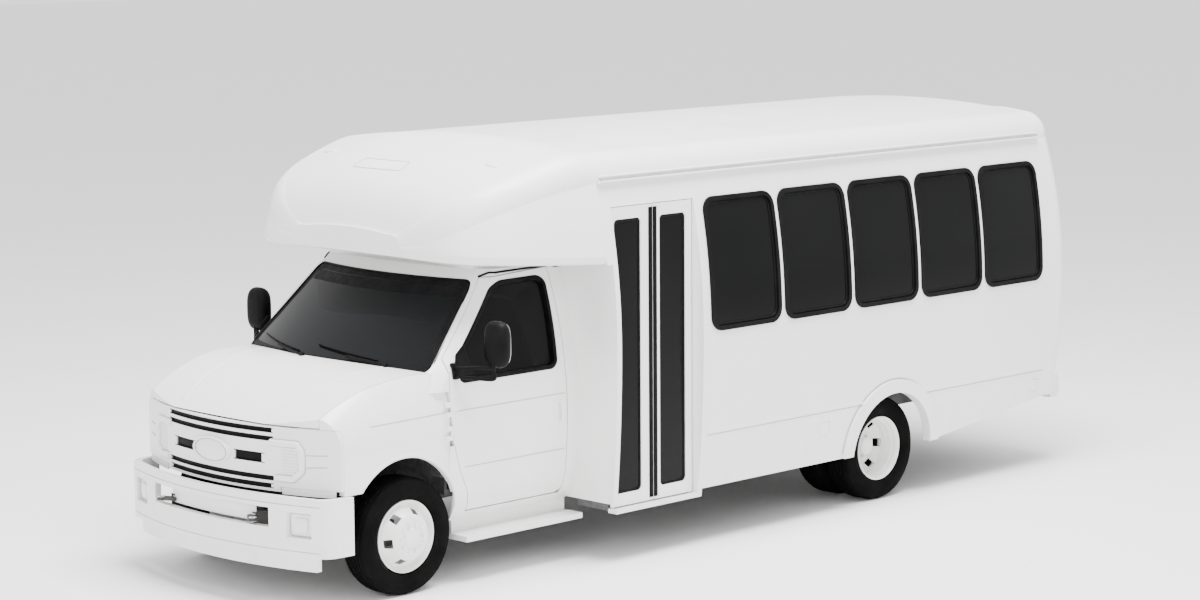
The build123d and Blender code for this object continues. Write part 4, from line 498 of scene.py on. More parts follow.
def ring_tree():
    """Copies of a block or stud set round a circle in the XZ plane, standing outwards or along Y."""
    number, length = "NodeSocketInt", "NodeSocketFloat"
    sizes = {
        "Count": (number, 10),
        "Ring Radius": (length, 0.1),
        "Width": (length, 0.02),
        "Length": (length, 0.02),
        "Height": (length, 0.01),
        "Sides": (number, 4),
        "Along Axle": ("NodeSocketBool", False),
    }
    tree, given = new_tree("ring_of_studs", sizes)
    circle = wired(tree, "GeometryNodeMeshCircle", vertices=given["Count"], radius=given["Ring Radius"])
    stud = wired(
        tree, "GeometryNodeMeshCone", vertices=given["Sides"], radius_top=0.43, radius_bottom=0.5, depth=1.0
    )
    place = wired(tree, "GeometryNodeInputPosition")
    outwards = wired(tree, "FunctionNodeAlignEulerToVector", vector=place.outputs["Position"])
    outwards.axis = "Z"
    choose = tree.nodes.new("GeometryNodeSwitch")
    choose.input_type = "ROTATION"
    tree.links.new(given["Along Axle"], choose.inputs["Switch"])
    tree.links.new(outwards.outputs["Rotation"], choose.inputs["False"])
    size = wired(tree, "ShaderNodeCombineXYZ", x=given["Width"], y=given["Length"], z=given["Height"])
    copies = wired(
        tree,
        "GeometryNodeInstanceOnPoints",
        points=circle.outputs["Mesh"],
        instance=stud.outputs["Mesh"],
        rotation=choose.outputs["Output"],
        scale=size.outputs["Vector"],
    )
    return finish_tree(tree, given, copies)


def row_tree():
    """Equal slats laid side by side along a line."""
    vector = "NodeSocketVector"
    sizes = {
        "Count": ("NodeSocketInt", 10),
        "Start": (vector, (0, 0, 0)),
        "Step": (vector, (0, 0, 0.01)),
        "Slat": (vector, (0.1, 0.01, 0.005)),
    }
    tree, given = new_tree("row_of_slats", sizes)
    line = wired(
        tree,
        "GeometryNodeMeshLine",
        count=given["Count"],
        start_location=given["Start"],
        offset=given["Step"],
    )
    slat = wired(tree, "GeometryNodeMeshCube", size=given["Slat"])
    copies = wired(
        tree, "GeometryNodeInstanceOnPoints", points=line.outputs["Mesh"], instance=slat.outputs["Mesh"]
    )
    return finish_tree(tree, given, copies)


def grown(tree, **values):
    """Plain mesh of a tree's result with these inputs."""
    holder = placed("holder", bpy.data.meshes.new("holder"))
    modifier = holder.modifiers.new("tree", "NODES")
    modifier.node_group = tree
    sockets = {item.name: item.identifier for item in tree.interface.items_tree if item.in_out == "INPUT"}
    for label, value in values.items():
        modifier[sockets[socket_name(label)]] = value
    return evaluated(holder)


RING = ring_tree()
ROW = row_tree()


def ring_of(centre, y, lean, **sizes):
    """Ring of studs standing in a wheel, y along its axle from its centre."""
    mesh = grown(RING, **sizes)
    mesh.transform(Matrix.Translation(centre + Vector((0, y, 0))) @ Matrix.Rotation(lean, 4, "X"))
    return mesh


# ---------------------------------------------------------------- wheels
TYRE_R = HUB_Z
TYRE_HALF_WIDTH = 0.1125
TREAD_HALF = 0.074
GROOVES = ((0.050, 0.004), (0.017, 0.0035))
GROOVE_DEPTH = 0.009
GROOVE_CHAMFER = 0.0008
LUG_RING_DROP = 0.006
TREAD_BLOCKS = 64
TREAD_BLOCK_Y = 0.0335
RIM_LIP = [(0.2290, 0.0860), (0.2298, 0.0925), (0.2262, 0.0962), (0.2205, 0.0945)]
VENT_COUNT = 6
VENT_LONG = 0.031
VENT_WIDE = 0.021


def tyre_profile():
    """Closed (radius, y) outline: sidewalls, shoulders, grooved tread and the liner."""
    wall = [(0.2325, 0.0805), (0.2345, 0.0900), (0.2460, 0.1000), (0.2640, 0.1085), (0.2900, 0.1122)]
    wall += [(0.3150, 0.1106), (0.3360, 0.1056), (0.3500, 0.1010), (0.3590, 0.0950), (0.3630, 0.0860)]
    wall.append((TYRE_R - LUG_RING_DROP, TREAD_HALF - 0.002))
    half = curve_through(wall, 3) + [(TYRE_R - 0.0015, TREAD_HALF - 0.004)]
    floor = TYRE_R - GROOVE_DEPTH
    for middle, reach in GROOVES:
        half += [(TYRE_R, middle + reach + GROOVE_CHAMFER), (floor, middle + reach)]
        half += [(floor, middle - reach), (TYRE_R, middle - reach - GROOVE_CHAMFER)]
    liner = [(0.354, 0.0), (0.352, 0.060), (0.334, 0.090), (0.290, 0.098), (0.250, 0.090), (0.236, 0.078)]
    outside = half + [(r, -y) for r, y in reversed(half)]
    inside = [(r, -y) for r, y in reversed(liner)] + liner[1:]
    return outside + inside


def tyre_mesh(centre):
    """Tyre with a grooved crown and its blocks."""
    block = dict(width=0.018, length=0.025, height=0.006, sides=4)
    crown = TYRE_R - 0.0067
    rings = [
        ring_of(
            centre, side * TREAD_BLOCK_Y, math.pi / 2,
            count=TREAD_BLOCKS, ring_radius=crown, finish=RUBBER, **block,
        )
        for side in (1, -1)
    ]
    return joined([cleaned(spun(tyre_profile(), centre, 112), 40)] + rings)


def wheel_nuts(centre, y, ring_radius):
    """Ten nuts standing out of the lug plate."""
    nut = dict(width=0.021, length=0.021, height=0.016, sides=12, along_axle=True)
    return ring_of(centre, y, -math.pi / 2, count=10, ring_radius=ring_radius, finish=WHEEL, **nut)


def convex_disc():
    """Front wheel: lip, gutter, domed disc with its lug plate, and the back of both."""
    face = RIM_LIP + [(0.2145, 0.0850), (0.2060, 0.0745), (0.1985, 0.0640), (0.1925, 0.0625)]
    face += [(0.1850, 0.0740), (0.1650, 0.1080), (0.1460, 0.1330), (0.1330, 0.1430), (0.1190, 0.1465)]
    plate = [(0.1150, 0.1467), (0.1140, 0.1495), (0.0640, 0.1500), (0.0625, 0.1545), (0.0580, 0.1590)]
    plate += [(0.0420, 0.1612), (0.0200, 0.1622), (0.0004, 0.1625)]
    back = [(0.0004, 0.1500), (0.0600, 0.1420), (0.1180, 0.1400), (0.1420, 0.1270), (0.1600, 0.1040)]
    back += [(0.1800, 0.0700), (0.1900, 0.0560), (0.1950, 0.0300), (0.1890, 0.0000), (0.1950, -0.0500)]
    back += [(0.2000, -0.0860), (0.2290, -0.0900), (0.2290, -0.0850), (0.2040, -0.0800), (0.1990, -0.0500)]
    back += [(0.1930, 0.0000), (0.1990, 0.0400), (0.2060, 0.0660), (0.2180, 0.0800)]
    return curve_through(face, 3) + plate + back


def deep_dish():
    """Rear wheel: lip, stepped barrel, sunken disc and a standing hub."""
    face = RIM_LIP + [(0.2140, 0.0860), (0.2075, 0.0760), (0.2040, 0.0500), (0.1975, 0.0400)]
    face += [(0.1950, 0.0050), (0.1905, -0.0080), (0.1890, -0.0350), (0.1800, -0.0520), (0.1620, -0.0680)]
    face += [(0.1420, -0.0860), (0.1250, -0.0930)]
    hub = [(0.1180, -0.0935), (0.0680, -0.0935), (0.0655, -0.0900), (0.0640, -0.0240), (0.0600, -0.0150)]
    hub += [(0.0500, -0.0105), (0.0250, -0.0085), (0.0004, -0.0080)]
    back = [(0.0004, -0.0300), (0.0580, -0.0400), (0.0600, -0.1000), (0.1260, -0.1005), (0.1460, -0.0920)]
    back += [(0.1840, -0.0580), (0.1950, -0.0700), (0.2000, -0.0860), (0.2290, -0.0900), (0.2290, -0.0850)]
    back += [(0.2050, -0.0800), (0.1985, -0.0500), (0.1985, -0.0100), (0.2100, 0.0700), (0.2200, 0.0820)]
    return curve_through(face, 3) + hub + back


def with_vents(mesh, centre, radius, y, lean, first_angle):
    """Cuts the oval vents; lean tips each cutter square to the disc's slope."""
    tip = Matrix.Translation((radius, y, 0)) @ Matrix.Rotation(math.radians(lean), 4, "Z")
    shape = Matrix.Rotation(math.pi / 2, 4, "X") @ Matrix.Diagonal((VENT_WIDE, VENT_LONG, 1, 1))
    cutter_mesh = bpy.data.meshes.new("vent_cutter")
    with editing(cutter_mesh) as work:
        for index in range(VENT_COUNT):
            spin = Matrix.Rotation(math.radians(first_angle + index * 360 / VENT_COUNT), 4, "Y")
            bmesh.ops.create_cone(
                work, cap_ends=True, segments=28, radius1=1, radius2=1, depth=0.06,
                matrix=Matrix.Translation(centre) @ spin @ tip @ shape,
            )
    cutter = placed("vent_cutter", cutter_mesh)
    holder = placed("holder", mesh)
    cut = holder.modifiers.new("vents", "BOOLEAN")
    cut.object = cutter
    cut.operation = "DIFFERENCE"
    cut.solver = "EXACT"
    result = evaluated(holder)
    bpy.data.objects.remove(cutter)
    shade(result, 35)
    return result


def show_wheel(name, mesh, material, body, node):
    """The wheel piece on the left and its mirror image on the right."""
    for side, shape in (("left", mesh), ("right", mirrored_copy(mesh))):
        piece(f"{name}_{side}", shape, material, f"{body}_{side}", [f"{node}_{side}"])


def front_wheels():
    """Single wheels with a domed disc."""
    hub = Vector((FRONT_AXLE_X, JOINTS["wheel_front_left_spin"]["pos_m"][1], HUB_Z))
    disc = cleaned(spun(convex_disc(), hub, 96))
    rim = with_vents(disc, hub, radius=0.165, y=0.110, lean=38, first_angle=8.3)
    rim = joined([rim, wheel_nuts(hub, y=0.153, ring_radius=0.088)])
    show_wheel("front_tyre", tyre_mesh(hub), RUBBER, "wheel_front", "tyre_front")
    show_wheel("front_rim", rim, WHEEL, "wheel_front", "rim_front")


def rear_wheels():
    """Twin wheels, the inner one turned about."""
    low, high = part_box("tyres_rear_left")
    outer = Vector((REAR_AXLE_X, high.y - TYRE_HALF_WIDTH, HUB_Z))
    inner = Vector((REAR_AXLE_X, low.y + TYRE_HALF_WIDTH, HUB_Z))
    dish = cleaned(spun(deep_dish(), outer, 96))
    outer_rim = with_vents(dish, outer, radius=0.166, y=-0.066, lean=-42, first_angle=0)
    inner_rim = cleaned(spun([(r, -y) for r, y in deep_dish()], inner, 64), 35)
    tyres = joined([tyre_mesh(outer), tyre_mesh(inner)])
    rims = joined([outer_rim, inner_rim, wheel_nuts(outer, y=-0.088, ring_radius=0.092)])
    show_wheel("rear_tyres", tyres, RUBBER, "wheels_rear", "tyres_rear")
    show_wheel("rear_rims", rims, WHEEL, "wheels_rear", "rims_rear")


# ---------------------------------------------------------------- laying trim on the panels
def skin_of(*nodes):
    """Search tree over the faces of some nodes."""
    points, faces = [], []
    for node in nodes:
        mesh = frame["nodes"][node].data
        start = len(points)
        points += [vertex.co.copy() for vertex in mesh.vertices]
        faces += [[start + corner for corner in polygon.vertices] for polygon in mesh.polygons]
    return BVHTree.FromPolygons(points, faces)


def laid(skin, starts, towards, lift=0.0):
    """(place, outward normal) where each start, carried towards, meets the skin."""
    found = []
    for start in starts:
        place, normal, _, _ = skin.ray_cast(start, towards)
        if place is None:
            continue
        if normal.dot(towards) > 0:
            normal = -normal
        found.append((place + normal * lift, normal))
    return found


def view_along(towards, start):
    """A view: turns 2-D points into starts clear of the bus, and gives the way in from there."""
    return lambda points: ([start(a, b) for a, b in points], Vector(towards))


CLEAR_SIDE_Y, CLEAR_FRONT_X, CLEAR_REAR_X, CLEAR_ROOF_Z, CLEAR_HOOD_Z = 1.7, 1.5, -6.9, 3.2, 1.7
from_left = view_along((0, -1, 0), lambda x, z: at(x, CLEAR_SIDE_Y, z))
from_right = view_along((0, 1, 0), lambda x, z: at(x, -CLEAR_SIDE_Y, z))
from_front = view_along((-1, 0, 0), lambda y, z: at(CLEAR_FRONT_X, y, z))
from_rear = view_along((1, 0, 0), lambda y, z: at(CLEAR_REAR_X, y, z))
onto_cap = view_along((0, 0, -1), lambda x, y: at(x, y, CLEAR_ROOF_Z))
onto_hood = view_along((0, 0, -1), lambda x, y: at(x, y, CLEAR_HOOD_Z))
FLANK_VIEW = {LEFT: from_left, RIGHT: from_right}


def stepped(points, step, closed=False):
    """2-D run through points, no gap longer than step."""
    found = []
    ends = points[1:] + points[:1] if closed else points[1:]
    for a, b in zip(points, ends):
        count = max(1, math.ceil(math.dist(a, b) / step))
        for i in range(count):
            found.append(tuple(p + (q - p) * i / count for p, q in zip(a, b)))
    if not closed:
        found.append(tuple(points[-1]))
    return found


def rounded(corners, radius, step=0.03):
    """Closed 2-D loop with its corners rounded."""
    found = []
    count = len(corners)
    for i, corner in enumerate(corners):
        here = Vector(corner)
        before, after = Vector(corners[i - 1]) - here, Vector(corners[(i + 1) % count]) - here
        reach = min(radius, 0.45 * before.length, 0.45 * after.length)
        a, b = here + before.normalized() * reach, here + after.normalized() * reach
        for bend in range(7):
            t = bend / 6
            found.append(tuple(a * (1 - t) ** 2 + here * 2 * t * (1 - t) + b * t**2))
    return stepped(found, step, closed=True)


def box_corners(x0, x1, z0, z1):
    """Corners of an upright rectangle, in order."""
    return [(x0, z0), (x1, z0), (x1, z1), (x0, z1)]


def square(middle, half):
    """Corners of a square about its middle."""
    return box_corners(middle[0] - half, middle[0] + half, middle[1] - half, middle[1] + half)


def oval(half_width, half_height, middle=(0, 0), count=48):
    """Closed 2-D ellipse."""
    turns = [2 * math.pi * i / count for i in range(count)]
    return [(middle[0] + half_width * math.cos(t), middle[1] + half_height * math.sin(t)) for t in turns]


def squircle(half_width, half_height, count):
    """Rounded rectangle with fully curved sides."""
    found = []
    for i in range(count):
        c, s = math.cos(2 * math.pi * i / count), math.sin(2 * math.pi * i / count)
        y = half_width * math.copysign(abs(c) ** SQUARENESS, c)
        found.append((y, half_height * math.copysign(abs(s) ** SQUARENESS, s)))
    return found


def arc(middle, radius, degrees):
    """2-D points on a circle at the given angles."""
    turns = [math.radians(angle) for angle in degrees]
    return [(middle[0] + radius * math.cos(t), middle[1] + radius * math.sin(t)) for t in turns]


def bead(size, sink=0.003):
    """Rounded strip section of a (width, height): points across and outwards."""
    w, height = size[0] / 2, size[1]
    side, top = [(-w, -sink), (-w, 0.5 * height)], (-0.6 * w, height)
    return side + [top, (0.6 * w, height), (w, 0.5 * height), (w, -sink)]


def swept(track, section, closed=False):
    """A section carried along (place, normal) pairs."""
    count = len(track)
    rows = []
    for i, (place, normal) in enumerate(track):
        ahead = track[(i + 1) % count][0] if closed or i + 1 < count else place
        behind = track[i - 1][0] if closed or i else place
        across = normal.cross((ahead - behind).normalized()).normalized()
        rows.append([place + across * a + normal * h for a, h in section])
    mesh = grid_mesh(rows, wrap_rows=closed, wrap_columns=True)
    return cleaned(mesh if closed else capped(mesh), 50)


def rod(points, radius, sides=12):
    """Round bar along 3-D points."""
    places = [Vector(point) for point in points]
    normal = (places[1] - places[0]).normalized().orthogonal().normalized()
    track = []
    for i, place in enumerate(places):
        ahead = places[i + 1] if i + 1 < len(places) else place
        behind = places[i - 1] if i else place
        way = (ahead - behind).normalized()
        normal = (normal - way * normal.dot(way)).normalized()
        track.append((place, normal.copy()))
    return swept(track, oval(radius, radius, count=sides))


def plate(track, thick, crown=0.0):
    """Solid plate inside a closed (place, normal) loop, its middle standing crown higher."""
    middle = sum((place for place, _ in track), Vector()) / len(track)
    facing = sum((normal for _, normal in track), Vector()).normalized()
    rows = [[place - normal * 0.004 for place, normal in track]]
    rows.append([place + normal * thick * 0.6 for place, normal in track])
    for share in (0.96, 0.8, 0.55, 0.3, 0.05):
        rise = facing * crown * (1 - share**2)
        rows.append([middle + (place - middle) * share + normal * thick + rise for place, normal in track])
    return bar(rows)


def strip(skin, view, points, size, step=0.03, sink=0.003, lift=0.0):
    """Strip of a (width, height) along a run drawn in one view, its points a step apart at most."""
    return swept(laid(skin, *view(stepped(points, step)), lift), bead(size, sink))


def ring_trim(skin, view, loop, size, sink=0.003, lift=0.0):
    """Closed strip of a (width, height) round a loop drawn in one view."""
    return swept(laid(skin, *view(loop), lift), bead(size, sink), closed=True)


def plate_trim(skin, view, loop, thick, crown=0.0):
    """Plate inside a loop drawn in one view."""
    return plate(laid(skin, *view(loop)), thick, crown)


def level(x0, x1, z):
    """Run at one height."""
    return [(x0, z), (x1, z)]


# ---------------------------------------------------------------- coach body trim
# a strip's size is its width and its height over the panel
DRIP_RAILS = ((2.497, (0.012, 0.010)), (2.526, (0.016, 0.014)))
DRIP_CHANNEL = (0.018, 0.002)
DRIP_CHANNEL_Z = 2.511
DRIP_ENDS = (CAP_SEAM_X - 0.012, REAR_SEAM_X + 0.012)
RAIL_STEP, BELT_STEP = 0.12, 0.05
BELT_Z = 0.764
BELT_STRIP = (0.030, 0.006)
BELT_LINE = (0.007, 0.002)
BELT_LINE_DROP = 0.019
BELT_FRONT_X = {LEFT: -2.33, RIGHT: CAP_SEAM_X - 0.03}
FLARE_Z = 0.362
FLARE_R = 0.530
FLARE_REACH = 0.345
FLARE_LINE = (0.010, 0.003)
MARKERS = ((-3.53, 0.63), (-5.93, 0.64))
MARKER_HALF = 0.046
MARKER_RIM_HALF = 0.055
MARKER_RIM = (0.008, 0.006)
WINDOW_FIRST_X = -2.345
WINDOW_PITCH = 0.735
WINDOW_WIDTH = 0.695
WINDOW_Z = (1.440, 2.330)
WINDOW_BORDER = 0.042
WINDOW_COUNT = {LEFT: 5, RIGHT: 6}
WINDOW_SEAL = (0.016, 0.008)
REAR_WINDOW = (-0.345, 0.345, 1.385, 2.045)
REAR_WINDOW_SEAL = (0.026, 0.006)
GRAB_BAR = ((-6.318, 0.34), (-6.345, 0.335), (-6.352, 0.30), (-6.352, 0.20), (-6.345, 0.165), (-6.318, 0.16))
GRAB_BAR_Z = 1.20
GRAB_BAR_R = 0.009


def drip_rails(skin, view, name):
    """Two fine rails under the roof edge, with painted shade as a grey strip in the channel between them."""
    rails = [strip(skin, view, level(*DRIP_ENDS, z), size, RAIL_STEP) for z, size in DRIP_RAILS]
    # painted shade: grey strip for the shadow in the drip channel
    channel = strip(skin, view, level(*DRIP_ENDS, DRIP_CHANNEL_Z), DRIP_CHANNEL, RAIL_STEP)
    piece(f"drip_rail_{name}", joined(rails), PAINT)
    piece(f"drip_rail_channel_shade_{name}", channel, SEAM_SHADE)


def belt_moulding(panel, view, name, front_x):
    """Belt strip that stops at the wheel flare, with painted shadow lines under the belt and round the flare's
    edge.
    """
    belts, lines = [], []
    for x1, x0 in ((front_x, REAR_AXLE_AT + FLARE_REACH), (REAR_AXLE_AT - FLARE_REACH, REAR_SEAM_X + 0.02)):
        belts.append(strip(panel, view, level(x1, x0, BELT_Z), BELT_STRIP, BELT_STEP))
        # painted shadow: grey line under the belt strip
        lines.append(strip(panel, view, level(x1, x0, BELT_Z - BELT_LINE_DROP), BELT_LINE, BELT_STEP))
    flare = arc((REAR_AXLE_AT, FLARE_Z), FLARE_R, range(6, 176, 4))
    # painted shade: grey line round the flare's edge
    lines.append(swept(laid(panel, *view(flare)), bead(FLARE_LINE)))
    piece(f"belt_moulding_{name}", joined(belts), PAINT)
    piece(f"belt_and_flare_shade_{name}", joined(lines), SEAM_SHADE)


def side_markers(skin, view, name):
    """Small blank square bumps with a raised rim."""
    markers = []
    for middle in MARKERS:
        rim = rounded(square(middle, MARKER_RIM_HALF), 0.02, 0.012)
        markers.append(ring_trim(skin, view, rim, MARKER_RIM))
        face = rounded(square(middle, MARKER_HALF), 0.016, 0.012)
        markers.append(plate_trim(skin, view, face, 0.004, 0.003))
    piece(f"side_markers_{name}", joined(markers), PAINT)


def coach_trim():
    """Trim of both flanks of the coach body."""
    for side, view in FLANK_VIEW.items():
        name = SIDE_NAME[side]
        skin = skin_of("skirts", f"side_panel_{name}", "roof", "rear_cap", "door_surround")
        drip_rails(skin, view, name)
        belt_moulding(skin_of("skirts", f"side_panel_{name}"), view, name, BELT_FRONT_X[side])
        side_markers(skin, view, name)


def window_seals():
    """Inner gasket of each side window; the right row starts one place further forward."""
    skin = skin_of("window_glass")
    for side, view in FLANK_VIEW.items():
        seals = []
        for index in range(WINDOW_COUNT[side]):
            x1 = WINDOW_FIRST_X + (WINDOW_PITCH if side == RIGHT else 0) - index * WINDOW_PITCH
            low, high = WINDOW_Z[0] + WINDOW_BORDER, WINDOW_Z[1] - WINDOW_BORDER
            corners = box_corners(x1 - WINDOW_WIDTH + WINDOW_BORDER, x1 - WINDOW_BORDER, low, high)
            seals.append(ring_trim(skin, view, rounded(corners, 0.065, 0.05), WINDOW_SEAL))
        piece(f"window_seals_{SIDE_NAME[side]}", joined(seals), BLACK)


def rear_door_trim():
    """Grab bar and window gasket of the emergency door."""
    body = BODY_OF["rear_door"]
    grip = rod([at(x, y, GRAB_BAR_Z) for x, y in GRAB_BAR], GRAB_BAR_R)
    piece("rear_door_handle", grip, BLACK, body)
    loop = rounded(box_corners(*REAR_WINDOW), 0.06, 0.04)
    seal = ring_trim(skin_of("rear_door"), from_rear, loop, REAR_WINDOW_SEAL)
    piece("rear_door_window_seal", seal, BLACK, body)


# ---------------------------------------------------------------- entry door
LEAF_GLASS = {"front": (-1.775, -1.530), "rear": (-2.196, -1.951)}
LEAF_GLASS_Z = (0.454, 2.241)
LEAF_GASKET = (0.026, 0.005)
EDGE_SEAL = (0.034, 0.007)
EDGE_SEAL_IN = 0.018


def entry_trim():
    """Glass gaskets of the two leaves and the black strip where they meet."""
    for name, (x0, x1) in LEAF_GLASS.items():
        node = f"entry_leaf_{name}"
        skin = skin_of(node, f"entry_glass_{name}")
        loop = rounded(box_corners(x0 + 0.004, x1 - 0.004, *LEAF_GLASS_Z), 0.05, 0.05)
        gasket = ring_trim(skin, from_left, loop, LEAF_GASKET)
        piece(f"entry_gasket_{name}", gasket, BLACK, BODY_OF[node])
        low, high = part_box(node)
        seam_x = (low.x + EDGE_SEAL_IN if name == "front" else high.x - EDGE_SEAL_IN) - FRONT_AXLE_X
        run = [(seam_x, low.z + 0.02), (seam_x, high.z - 0.02)]
        seal = strip(skin, from_left, run, EDGE_SEAL, step=0.1)
        piece(f"entry_edge_seal_{name}", seal, BLACK, BODY_OF[node])


# ---------------------------------------------------------------- cab sides
DOOR_WINDOW = [(-0.452, 1.302), (-0.446, 1.450), (-0.815, 1.826), (-0.905, 1.862)]
DOOR_WINDOW += [(-1.236, 1.868), (-1.284, 1.836), (-1.268, 1.332), (-1.235, 1.302)]
DOOR_WINDOW_MIDDLE = Vector((-0.87, 1.58))
DOOR_WINDOW_MARGIN = 0.006
DOOR_SEAL = (0.028, 0.005)
DOOR_SEAL_DEPTH = 0.022
MIRROR_SAIL = [(-0.400, 1.335), (-0.400, 1.470), (-0.470, 1.530), (-0.555, 1.335)]
CREASE_Z = (1.118, 0.752)
CREASE = (0.006, 0.002)
CREASE_REAR_X, CREASE_FRONT_X = -1.330, -0.368
HANDLE_CUP = (-1.318, -1.258, 0.915, 1.090)
HANDLE_X = -1.288
HANDLE_ENDS_Z = (0.935, 1.070)
HANDLE_STANDS_OUT = 0.030
HANDLE_R = 0.012
GUTTER_RUN = [(-0.80, 1.905), (-0.86, 1.928), (-1.36, 1.934)]
GUTTER = (0.014, 0.008)


def cab_window_seal(door, view, name, body):
    """Gasket that lines the door's window opening to its full depth."""
    loop = []
    for corner in DOOR_WINDOW:
        away = Vector(corner) - DOOR_WINDOW_MIDDLE
        loop.append(tuple(DOOR_WINDOW_MIDDLE + away * (1 + DOOR_WINDOW_MARGIN / away.length)))
    seal = ring_trim(door, view, rounded(loop, 0.03, 0.02), DOOR_SEAL, sink=DOOR_SEAL_DEPTH)
    piece(f"cab_window_seal_{name}", seal, BLACK, body)


def mirror_sail(side, view, name, body):
    """Flat black triangle ahead of the door's glass."""
    skin = skin_of(f"cab_door_{name}", f"cab_door_glass_{name}")
    pane = laid(skin, *view(rounded(MIRROR_SAIL, 0.012, 0.02)))
    furthest = max(place.y * side for place, _ in pane)
    out = Vector((0, side, 0))
    flat = [(Vector((place.x, side * furthest, place.z)), out) for place, _ in pane]
    piece(f"mirror_sail_{name}", plate(flat, 0.004), BLACK, body)


def cab_creases(door, view, name, body):
    """Painted shade of the pressed lines along the door, as grey strips, and of the upper one's run on over the
    fender.
    """
    creases = []
    for z in CREASE_Z:
        front_x = CREASE_FRONT_X - 0.25 * (CREASE_Z[0] - z)
        creases.append(strip(door, view, level(CREASE_REAR_X, front_x, z), CREASE))
    # painted shade: grey strips for the shadow of the door creases
    piece(f"cab_door_crease_shade_{name}", joined(creases), SEAM_SHADE, body)
    # painted shade of the crease where it runs over the fender
    line = strip(skin_of("fenders"), view, [(-0.325, CREASE_Z[0]), (0.30, 1.106)], CREASE)
    piece(f"fender_crease_shade_{name}", line, SEAM_SHADE, BODY_OF["fenders"])


def cab_handle(side, door, view, name, body):
    """Pull handle bowed out over its cup."""
    cup = plate_trim(door, view, rounded(box_corners(*HANDLE_CUP), 0.024, 0.012), 0.003)
    piece(f"cab_handle_cup_{name}", cup, PAINT, body)
    low, high = (laid(door, *view([(HANDLE_X, z)]))[0][0] for z in HANDLE_ENDS_Z)
    out = Vector((0, side * HANDLE_STANDS_OUT, 0))
    neck, shoulder = Vector((0, 0, 0.012)), Vector((0, 0, 0.035))
    path = [low, low + out * 0.8 + neck, low + out + shoulder]
    path += [high + out - shoulder, high + out * 0.8 - neck, high]
    piece(f"cab_handle_{name}", rod(curve_through(path, 5), HANDLE_R), PAINT, body)


def cab_trim():
    """Seals, mirror sails, creases, handles and gutters of the cab's two sides."""
    for side, view in FLANK_VIEW.items():
        name = SIDE_NAME[side]
        node = f"cab_door_{name}"
        body = BODY_OF[node]
        door = skin_of(node)
        cab_window_seal(door, view, name, body)
        mirror_sail(side, view, name, body)
        cab_creases(door, view, name, body)
        cab_handle(side, door, view, name, body)
        gutter = strip(skin_of("cab_frame", node), view, GUTTER_RUN, GUTTER, lift=0.001)
        piece(f"cab_drip_line_{name}", gutter, BLACK)


# ---------------------------------------------------------------- screen
SCREEN_BORDER = (0.060, 0.0012)
SCREEN_BAND = (0.085, 0.0014)
SCREEN_BAND_Z, SCREEN_BAND_HALF = 1.815, 0.70
SCREEN_GASKET = (0.020, 0.006)
WIPER_ARM, WIPER_BLADE = (0.016, 0.008), (0.010, 0.012)
WIPER_SPINDLE_R = 0.016
# pivot, elbow and blade tip of each wiper, seen from the front
WIPERS = (
    ((0.60, 1.385), (0.28, 1.41), (-0.03, 1.455)),
    ((-0.10, 1.385), (-0.42, 1.41), (-0.72, 1.445)),
)


def screen_corners(foot, foot_z, head, head_z):
    """The screen's trapezoid from its half widths at foot and head."""
    return [(-foot, foot_z), (foot, foot_z), (head, head_z), (-head, head_z)]


def screen_trim():
    """Dark printed border with its deeper band at the top, and the gasket."""
    skin = skin_of("windshield")
    loop = rounded(screen_corners(0.866, 1.382, 0.728, 1.868), 0.05, 0.05)
    border = ring_trim(skin, from_front, loop, SCREEN_BORDER, lift=0.0005)
    run = level(-SCREEN_BAND_HALF, SCREEN_BAND_HALF, SCREEN_BAND_Z)
    band = strip(skin, from_front, run, SCREEN_BAND, step=0.05, sink=0.001)
    piece("screen_border", joined([border, band]), BLACK)
    loop = rounded(screen_corners(0.882, 1.366, 0.742, 1.882), 0.05, 0.05)
    gasket = ring_trim(skin_of("cab_frame", "windshield"), from_front, loop, SCREEN_GASKET)
    piece("screen_gasket", gasket, BLACK)


def wipers():
    """Two parked wipers: spindle, arm and blade."""
    skin = skin_of("windshield")
    parts = []
    for pivot, elbow, tip in WIPERS:
        parts.append(strip(skin, from_front, [pivot, elbow], WIPER_ARM, sink=0.004, lift=0.022))
        heel = (elbow[0] + 0.24, elbow[1] - 0.002)
        parts.append(strip(skin, from_front, [heel, tip], WIPER_BLADE, sink=0.004, lift=0.005))
        foot, out = laid(skin, *from_front([pivot]))[0]
        parts.append(rod([foot - out * 0.01, foot + out * 0.034], WIPER_SPINDLE_R, 20))
    piece("wipers", joined(parts), BLACK)


# ---------------------------------------------------------------- nose
BADGE_X = 0.776
BADGE_MIDDLE = (0, 0.908)
BADGE_HALF = (0.178, 0.080)
BADGE_RIM, BADGE_LINE = (0.014, 0.009), (0.004, 0.006)
SLOT_ROWS_Z = (1.082, 1.030, 0.785, 0.737)
SLOT_HALF_HEIGHT = 0.015
SLOT_HALF_WIDTH = 0.518
SIDE_SLOT = (0.196, 0.452, 0.874, 0.936)
SLAT_X = 0.672
GRILLE_NOSE_X, GRILLE_BOW_R = 0.760, 2.18
RIB_COUNT = 9
RIB_FIRST_Z, RIB_PITCH = 0.823, 0.0195
RIB, CLAMP, CLAMP_LINE = (0.010, 0.006), (0.040, 0.020), (0.050, 0.002)
CLAMP_RUN = ((0.500, 0.790), (0.660, 0.790), (0.722, 0.845), (0.722, 0.965), (0.690, 1.008), (0.500, 1.008))
LAMP_LINE = (0.006, 0.003)
NOSE_STEP, LAMP_STEP = 0.02, 0.015
LAMP_LINES = (((0.750, 0.945), (0.890, 0.952)), ((0.745, 0.868), (0.885, 0.880)))


def on_side(side, points):
    """Front-view points of the left half, carried to one side."""
    return [(side * y, z) for y, z in points]


def bow_x(nose, radius, y):
    """x of a face bowed across the bus."""
    return nose - (radius - math.sqrt(radius**2 - y**2))


